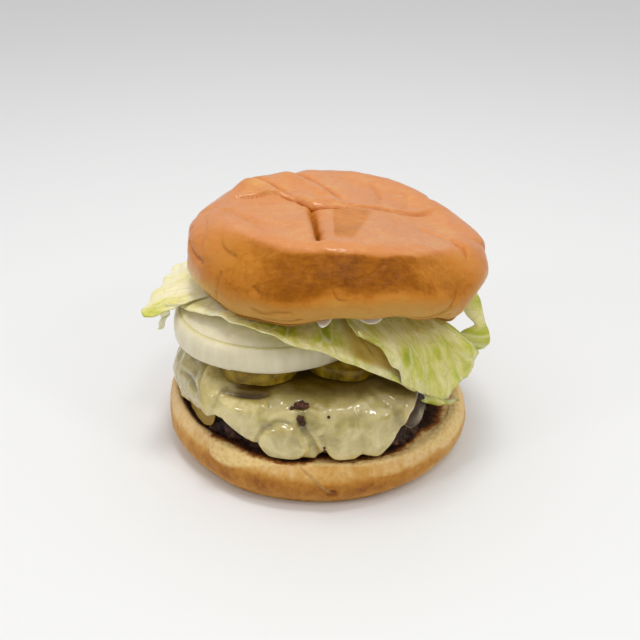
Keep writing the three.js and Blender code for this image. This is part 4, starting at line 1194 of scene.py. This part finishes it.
def lettuce_material():
    material, tree, shader = new_material(
        "iceberg_lettuce", ior=1.4, roughness=0.36, specular_ior_level=0.5, subsurface_weight=0.45,
        subsurface_radius=(0.0016, 0.0018, 0.0006), coat_weight=0.12, coat_roughness=0.2)
    sheet = add(tree, "UVMap", uv_map="sheet").outputs["UV"]
    bend = add(tree, "TexNoise", {"Scale": 1 / 18, "Detail": 2}, {"Vector": sheet}, noise_dimensions="2D")
    bent = add(tree, "VectorMath", {1: (7, 7, 0)}, {0: bend.outputs["Color"]}, operation="MULTIPLY")
    curved = add(tree, "VectorMath", (), {0: sheet, 1: bent.outputs[0]}, operation="ADD").outputs[0]
    rib_line = spread(tree, cells(tree, curved, 0.24, 8), 0, 0.09, 1, 0, **SMOOTH)
    net_line = spread(tree, cells(tree, curved, 0.45, 2.2), 0, 0.06, 0.26, 0, **SMOOTH)
    patch_cells = add(tree, "Mapping", {"Scale": (0.55, 1, 1)}, {"Vector": curved})
    patch = add(tree, "TexNoise", {"Scale": 1 / 7, "Detail": 5, "Roughness": 0.6},
                {"Vector": patch_cells.outputs[0]}, noise_dimensions="2D").outputs["Fac"]
    blotch = spread(tree, patch, 0.35, 0.65, -0.24, 0.24)
    green = reckon(tree, "ADD", mark(tree, "green"), blotch, use_clamp=True)
    blade = ramp(tree, green, (0.0, "#f4edc8"), (1.0, "#a4b00e"), (0.3, "#efe8ac"), (0.55, "#dfd87c"),
                 (0.78, "#c2c63e"))
    paler = reckon(tree, "MULTIPLY", rib_line, spread(tree, green, 0, 1, 0.1, 0.6))
    veined = blend(tree, net_line, blend(tree, paler, blade, "#efe9bc"), "#a89a48")
    raised = bump(tree, reckon(tree, "MAXIMUM", rib_line, net_line), 0.5, 0.0004)
    feed(tree, shader, base_color=blend(tree, mark(tree, "brown"), veined, "#d2ae54"),
         normal=bump(tree, patch, 0.5, 0.0008, raised))
    return material


LETTUCE = lettuce_material()

# %% The leaves
LEAF_CENTRE = (-1.3, 0)
LEAF_THICK = 0.5
LEAF_LEVEL = 44.8
# A leaf starts between onion and bun: its inner radius, its level there, the knee of its bend, and its
# free edge as azimuth, radius and height. green tints it from inside to edge, ruffle waves its edge.
LEAVES = {
    "left": dict(inner=10, level=LEAF_LEVEL - 1.2, knee=(47, 42.3), ruffle=(0.5, 5), green=(0.0, 0.12),
                 hem=[(150, 50, 38), (164, 56, 36.5), (178, 56.5, 36), (188, 59, 36), (198, 61.5, 35),
                      (203, 52, 38.8)]),
    "front": dict(inner=10, level=LEAF_LEVEL - 1.2, knee=(38, 43.8), ruffle=(0.25, 8), green=(0.3, 0.42),
                  hem=[(198.6, 49, 37.2), (211.3, 47, 40.3), (216.2, 45, 40.8), (225.3, 44, 43.1),
                       (229.5, 43.5, 42.4), (236, 43, 42.6), (245.5, 43, 42.7), (251.4, 43, 42.5),
                       (256.8, 43.5, 41.1), (262.3, 44, 40.3), (271.1, 44.5, 39.8), (278.5, 45, 37),
                       (285.7, 46, 34.9), (291.4, 47, 32.5), (297, 48.5, 30.2), (303.2, 49.5, 27),
                       (309.9, 50.5, 23.1)]),
    "right": dict(inner=16, level=LEAF_LEVEL, knee=(52, 45), ruffle=(0.35, 7), green=(0.45, 0.5),
                  hem=[(284, 46, 47.5), (286.5, 47, 45.9), (290.1, 48, 43.9), (293.2, 49, 41.4),
                       (297.5, 49, 35.4), (301.1, 49, 32.5), (302.9, 50, 27.4), (309.2, 51, 23.6),
                       (315.3, 54.5, 20.6), (319.2, 56.5, 18.9), (320.6, 57, 22.6), (326, 57.5, 23.6),
                       (334, 58.5, 22.6), (337.8, 58.5, 23.4)]),
    "tip": dict(inner=20, level=LEAF_LEVEL - 1.2, knee=(56, 43), ruffle=(0.5, 3), green=(0.3, 0.6),
                hem=[(350, 50, 38.5), (358, 55, 35.5), (366, 57, 32), (378, 58.5, 27.5), (392, 55, 32)]),
    "back": dict(inner=10, level=LEAF_LEVEL - 1.2, knee=(50, 43), ruffle=(1.4, 13), green=(0.3, 0.6),
                 hem=[(400, 53, 30), (418, 56, 25), (436, 54, 24), (452, 53, 28), (470, 55, 27),
                      (488, 53, 32), (503, 49, 37)]),
    "fold": dict(inner=26, level=33, knee=(38, 38), ruffle=(0.8, 4), green=(0.4, 0.6),
                 hem=[(326, 44, 31.5), (345, 44.5, 31.5), (370, 49, 30), (395, 49, 32), (415, 47, 34)]),
}
# Narrow ends of leaves, as two edges of azimuth, radius and height.
TONGUE = ([(-161, 54, 39.2), (-164.6, 55, 33.8), (-168.7, 55.6, 28), (-166, 56, 27)],
          [(-155.7, 50, 40.7), (-158.8, 52.5, 38.2), (-161.2, 53.5, 34.2), (-162.4, 55.5, 29)])
CURL = ([(-45.3, 50, 19.8), (-41.1, 51, 18), (-36.2, 52, 14.8), (-31.8, 53, 12.2), (-23.3, 54, 8.6)],
        [(-45.5, 49.5, 16.9), (-39, 50.5, 13.2), (-32.5, 51.5, 10.2), (-28.9, 53, 9.7), (-23.1, 54, 8.3)])
LOBE = ([(-7.5, 46, 43.5), (-7, 49.5, 39.4), (-6.6, 52.1, 34.5), (-6.1, 56, 30.1), (-6.7, 51.6, 26.7),
         (-6.6, 51.5, 23.2), (-6.1, 56, 20.7)],
        [(-3.5, 53, 44), (-3.1, 56.3, 39.7), (-3, 58.2, 35), (-2.9, 60.1, 29.5), (-2.7, 62.3, 25),
         (-2.7, 63, 21.2), (-2.7, 61.5, 18.9)])
# Its edges, how green it is where it starts and ends, and the azimuth that it bulges towards.
LEAF_ENDS = {"left": (TONGUE, (0.2, 0.2), -162), "right": (CURL, (0.8, 0.95), -35),
             "tip": (LOBE, (0.6, 1.0), -100)}
print("leaves:", ", ".join(LEAVES))

# %% Shape of a leaf
def leaf_middle(u, v, name, inner, level, knee, ruffle, hem, **tints):
    """The middle of a leaf: u runs from under the bun to the free edge, v along that edge."""
    seed = sorted(LEAVES).index(name) * 3 + 70
    first, last = hem[0][0], hem[-1][0]
    azimuth = first + (last - first) * v
    radius, height = smooth_rows(hem, azimuth)
    ragged = pattern(3.5, seed, v * 40) * 0.6 * ease(u, 0.75, 1)
    frayed = 1.0 * pattern(0.3, seed + 1, u, v) * (np.abs(v - 0.5) > 0.4)
    moved = azimuth + frayed
    bend = np.full_like(u, knee[0])
    if name == "right":
        moved = moved - 7.5 * ease(u, 1.0, 0.62) * ease(v, 0.7, 1)
        bend = bend + 13 * ease(v, 0.72, 1)
    a, b, c = (1 - u) ** 2, 2 * u * (1 - u), u**2
    reach = a * inner + b * bend + c * (radius + ragged)
    rise = a * level + b * knee[1] + c * height
    wave = ruffle[0] * u * u * np.sin(ruffle[1] * v * math.tau + 2 * pattern(0.6, seed + 2, u, v))
    if name == "right":
        wave = wave + 1.3 * bell(azimuth - 320, 2.4) * ease(u, 0.45, 0.8)
        wave = wave - 0.9 * bell(azimuth - 327, 3.5) * ease(u, 0.5, 0.8)
    points = polar(reach + 0.7 * wave, np.radians(moved), rise + 0.5 * wave, LEAF_CENTRE)
    crumple = rough(points, 9, 3, seed) * 0.9 + rough(points, 3.2, 2, seed) * 0.25
    crumple = crumple * ease(u, 0.35, 0.9)
    push_out(points, crumple, np.radians(moved))
    points[:, 2] += 0.4 * crumple * ease(u, 0.5, 0.9)
    return points


def leaf_tints(u, v, name):
    """How green and how brown a leaf is from place to place."""
    low, high = LEAVES[name]["green"]
    green = low + (high - low) * ease(u, 0.3, 1.0)
    brown = np.zeros_like(u)
    if name == "front":
        green = green - 0.3 * ease(v, 0.40, 0.25) + 0.35 * bell(v - 0.68, 0.1) * ease(u, 0.95, 0.7)
        green = green + 0.42 * bell(v - 0.49, 0.09) * ease(u, 0.98, 0.85)
        brown = 0.85 * ease(v, 0.72, 0.80) * ease(u, 0.96, 0.88)
    if name == "left":
        green = green + 0.6 * bell(v - 0.90, 0.07) * ease(u, 0.5, 0.7)
    if name == "right":
        green = green + 0.16 * ease(v, 0.58, 0.75) + 0.35 * bell(v - 0.48, 0.05) * bell(u - 0.6, 0.1)
        green = green + 0.3 * bell(v - 0.40, 0.05) * bell(u - 0.68, 0.08)
    return np.clip(green, 0, 1), brown


def unit_grid(bm, across, along):
    """A grid made by its operator, with each new point's place on it from 0 to 1."""
    made = bmesh.ops.create_grid(bm, x_segments=across, y_segments=along, size=1)
    co = np.array([vert.co for vert in made["verts"]])
    return (co[:, 0] + 1) / 2, (co[:, 1] + 1) / 2


def leaf_end(bm, edges, green, towards):
    """A narrow end of a leaf, drawn between two edges and rolled a little."""
    ACROSS, ALONG = 16, 40
    WIDE_MM, LONG_MM = 5, 16
    u, v = unit_grid(bm, ACROSS, ALONG)
    sides = []
    for edge in edges:
        rows = [(i, *row) for i, row in enumerate(edge)]
        sides.append(smooth_rows(rows, v * (len(edge) - 1)))
    azimuth, radius, height = sides[0] * (1 - u) + sides[1] * u
    rolled = 1.1 * np.sin(u * math.pi) + 0.3 * np.sin(v * 19)
    points = polar(radius, np.radians(azimuth), height, LEAF_CENTRE)
    push_out(points, rolled, math.radians(towards))
    return points, u * WIDE_MM, v * LONG_MM, green[0] + (green[1] - green[0]) * ease(v, 0.4, 0.65)


def leaf_mesh(name, across=66, along=118):
    row = LEAVES[name]
    bm = bmesh.new()
    u, v = unit_grid(bm, across, along)
    points = leaf_middle(u, v, name, **row)
    length = row["knee"][0] - row["inner"] + row["knee"][1] - row["hem"][1][2]
    width = math.radians(row["hem"][-1][0] - row["hem"][0][0]) * row["knee"][0]
    green, brown = leaf_tints(u, v, name)
    across_mm, along_mm = u * length, v * width
    if name in LEAF_ENDS:
        end_points, end_u, end_v, end_green = leaf_end(bm, *LEAF_ENDS[name])
        points = np.concatenate([points, end_points])
        across_mm, along_mm = np.concatenate([across_mm, end_u]), np.concatenate([along_mm, end_v])
        green, brown = np.concatenate([green, end_green]), np.concatenate([brown, np.zeros_like(end_u)])
    bm.verts.index_update()
    uv = bm.loops.layers.uv.new("sheet")
    for face in bm.faces:
        for loop in face.loops:
            i = loop.vert.index
            loop[uv].uv = (across_mm[i], along_mm[i])
    place_points(bm, points, [green, brown], ["green", "brown"])
    bmesh.ops.solidify(bm, geom=bm.faces[:], thickness=LEAF_THICK)
    return bm


for name in LEAVES:
    finish_piece(leaf_mesh(name), f"leaf_{name}", LETTUCE, [f"lettuce_{name}"])

# %% [markdown]
# ## Mayonnaise
# A smear of mayonnaise sticks to the underside of the top bun and comes out in a few soft tongues at the
# front. It is white with a hint of yellow, smooth and glossy.

# %% Mayonnaise material
def mayonnaise_material():
    material, tree, shader = new_material(
        "mayonnaise", ior=1.45, roughness=0.25, subsurface_weight=0.3,
        subsurface_radius=(0.002, 0.0018, 0.0014), coat_weight=0.2, coat_roughness=0.1)
    cream = grain(tree, add(tree, "TexCoord").outputs["Object"], 4, 3)
    feed(tree, shader, base_color=ramp(tree, cream, (0.3, "#ece4d0"), (0.7, "#f8f4e8")),
         normal=bump(tree, cream, 0.2, 0.0008))
    return material


# %% Shape of the smear
MAYONNAISE_RADIUS = 36
MAYONNAISE_THICK = 1.8
MAYONNAISE_LUMPS = [(-96, 5, 10), (-77, 10.5, 9.6), (-130, 4, 9), (-52, 8, 1.5), (-150, 12, 2)]


def smear_shape(angle, share):
    reach = MAYONNAISE_RADIUS + lumps_at(angle, MAYONNAISE_LUMPS) + 0.8 * pattern(10, 91, np.degrees(angle))
    away = np.sin(share * math.pi)
    radius = reach * away
    hang = ease(radius, 41, 46)
    ceiling = (cut_face(angle, radius / CROWN_RADIUS) - GAP) * (1 - hang) + (rim_height(angle) - 0.4) * hang
    full = MAYONNAISE_THICK + 1.2 * hang
    thick = full * np.sqrt(np.clip(1 - away**8, 0, 1))
    points = polar(radius, angle, ceiling - full / 2 + thick / 2 * np.where(share > 0.5, 1, -1))
    points[:, 1] *= CROWN_DEPTH_RATIO
    points[:, :2] += CROWN_CENTRE
    points[:, 2] += 0.25 * rough(points, 5, 2, 92) * (share < 0.5)
    return (points,)


smear = round_body(240, 60, smear_shape)
finish_piece(smear, "mayonnaise_smear", mayonnaise_material(), ["mayonnaise"])

# %% [markdown]
# ## Floor, light and camera
# The burger stands on a plain pale floor in a bright, white room: a white sky lights it from all sides,
# one soft lamp straight overhead gives the sheen on the crust, and three small ones in front give the wet
# highlights on the cheese.

# %% Floor
def pale_floor():
    bm = bmesh.new()
    bmesh.ops.create_grid(bm, x_segments=1, y_segments=1, size=4)
    mesh = bpy.data.meshes.new("floor")
    bm.to_mesh(mesh)
    bm.free()
    floor = bpy.data.objects.new("floor", mesh)
    bpy.context.scene.collection.objects.link(floor)
    material, _, _ = new_material("pale_table", roughness=0.5, base_color=linear("#e9e9e8"))
    mesh.materials.append(material)
    floor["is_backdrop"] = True


pale_floor()

# %% Light
def soft_room():
    """A white room that is brightest overhead, dimmer towards the front."""
    world = bpy.data.worlds.new("white_room")
    world.use_nodes = True
    tree = world.node_tree
    sky = tree.nodes["Background"]
    sky.inputs["Color"].default_value = linear("#fafafb")
    direction = add(tree, "TexCoord").outputs["Generated"]
    parts = add(tree, "SeparateXYZ", (), {0: direction})
    high = spread(tree, parts.outputs["Z"], 0, 1, 0.35, 0.74, **SMOOTH)
    behind = spread(tree, parts.outputs["Y"], -0.5, 0.8, 0, 0.2, **SMOOTH)
    feed(tree, sky, strength=reckon(tree, "ADD", high, behind))
    bpy.context.scene.world = world


def area_lamp(name, place, size, watts):
    """A square lamp that faces the burger."""
    data = bpy.data.lights.new(name, "AREA")
    data.size = size
    data.energy = watts
    lamp = bpy.data.objects.new(name, data)
    lamp.location = place
    lamp.rotation_euler = (Vector((0, 0, 0.04)) - Vector(place)).to_track_quat("-Z", "Y").to_euler()
    bpy.context.scene.collection.objects.link(lamp)


soft_room()
# Each: name, place and side in metres, watts.
LAMPS = [("overhead", (-0.03, 0.04, 0.82), 0.18, 2.1), ("front_high", (0.12, -0.29, 0.70), 0.11, 0.5),
         ("front_right", (0.46, -0.30, 0.50), 0.11, 0.42), ("front_left", (-0.54, -0.31, 0.42), 0.11, 0.42)]
for lamp in LAMPS:
    area_lamp(*lamp)
print("lamps:", ", ".join(lamp[0] for lamp in LAMPS))

# %% Camera
def front_camera():
    """Looks down on the burger from 3 burger heights in front of it."""
    PITCH_DEG = 29.5
    FOCAL_MM = 45
    data = bpy.data.cameras.new("camera")
    data.sensor_width = 36
    data.lens = FOCAL_MM
    data.clip_start = 0.01
    camera = bpy.data.objects.new("camera", data)
    camera.location = (0.001, -0.252, 0.183)
    camera.rotation_euler = (math.radians(90 - PITCH_DEG), 0, 0)
    bpy.context.scene.collection.objects.link(camera)
    bpy.context.scene.camera = camera
    print("camera:", FOCAL_MM, "mm, looking", PITCH_DEG, "degrees down")


front_camera()
bpy.context.scene.view_settings.view_transform = "Standard"

# %% Sizes of the frame and of the pieces
visual_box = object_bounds()
boxes = {"cad": cad_box, "visual": visual_box}
for name, box in boxes.items():
    print(name, [[round(value / MM, 1) for value in corner] for corner in box])
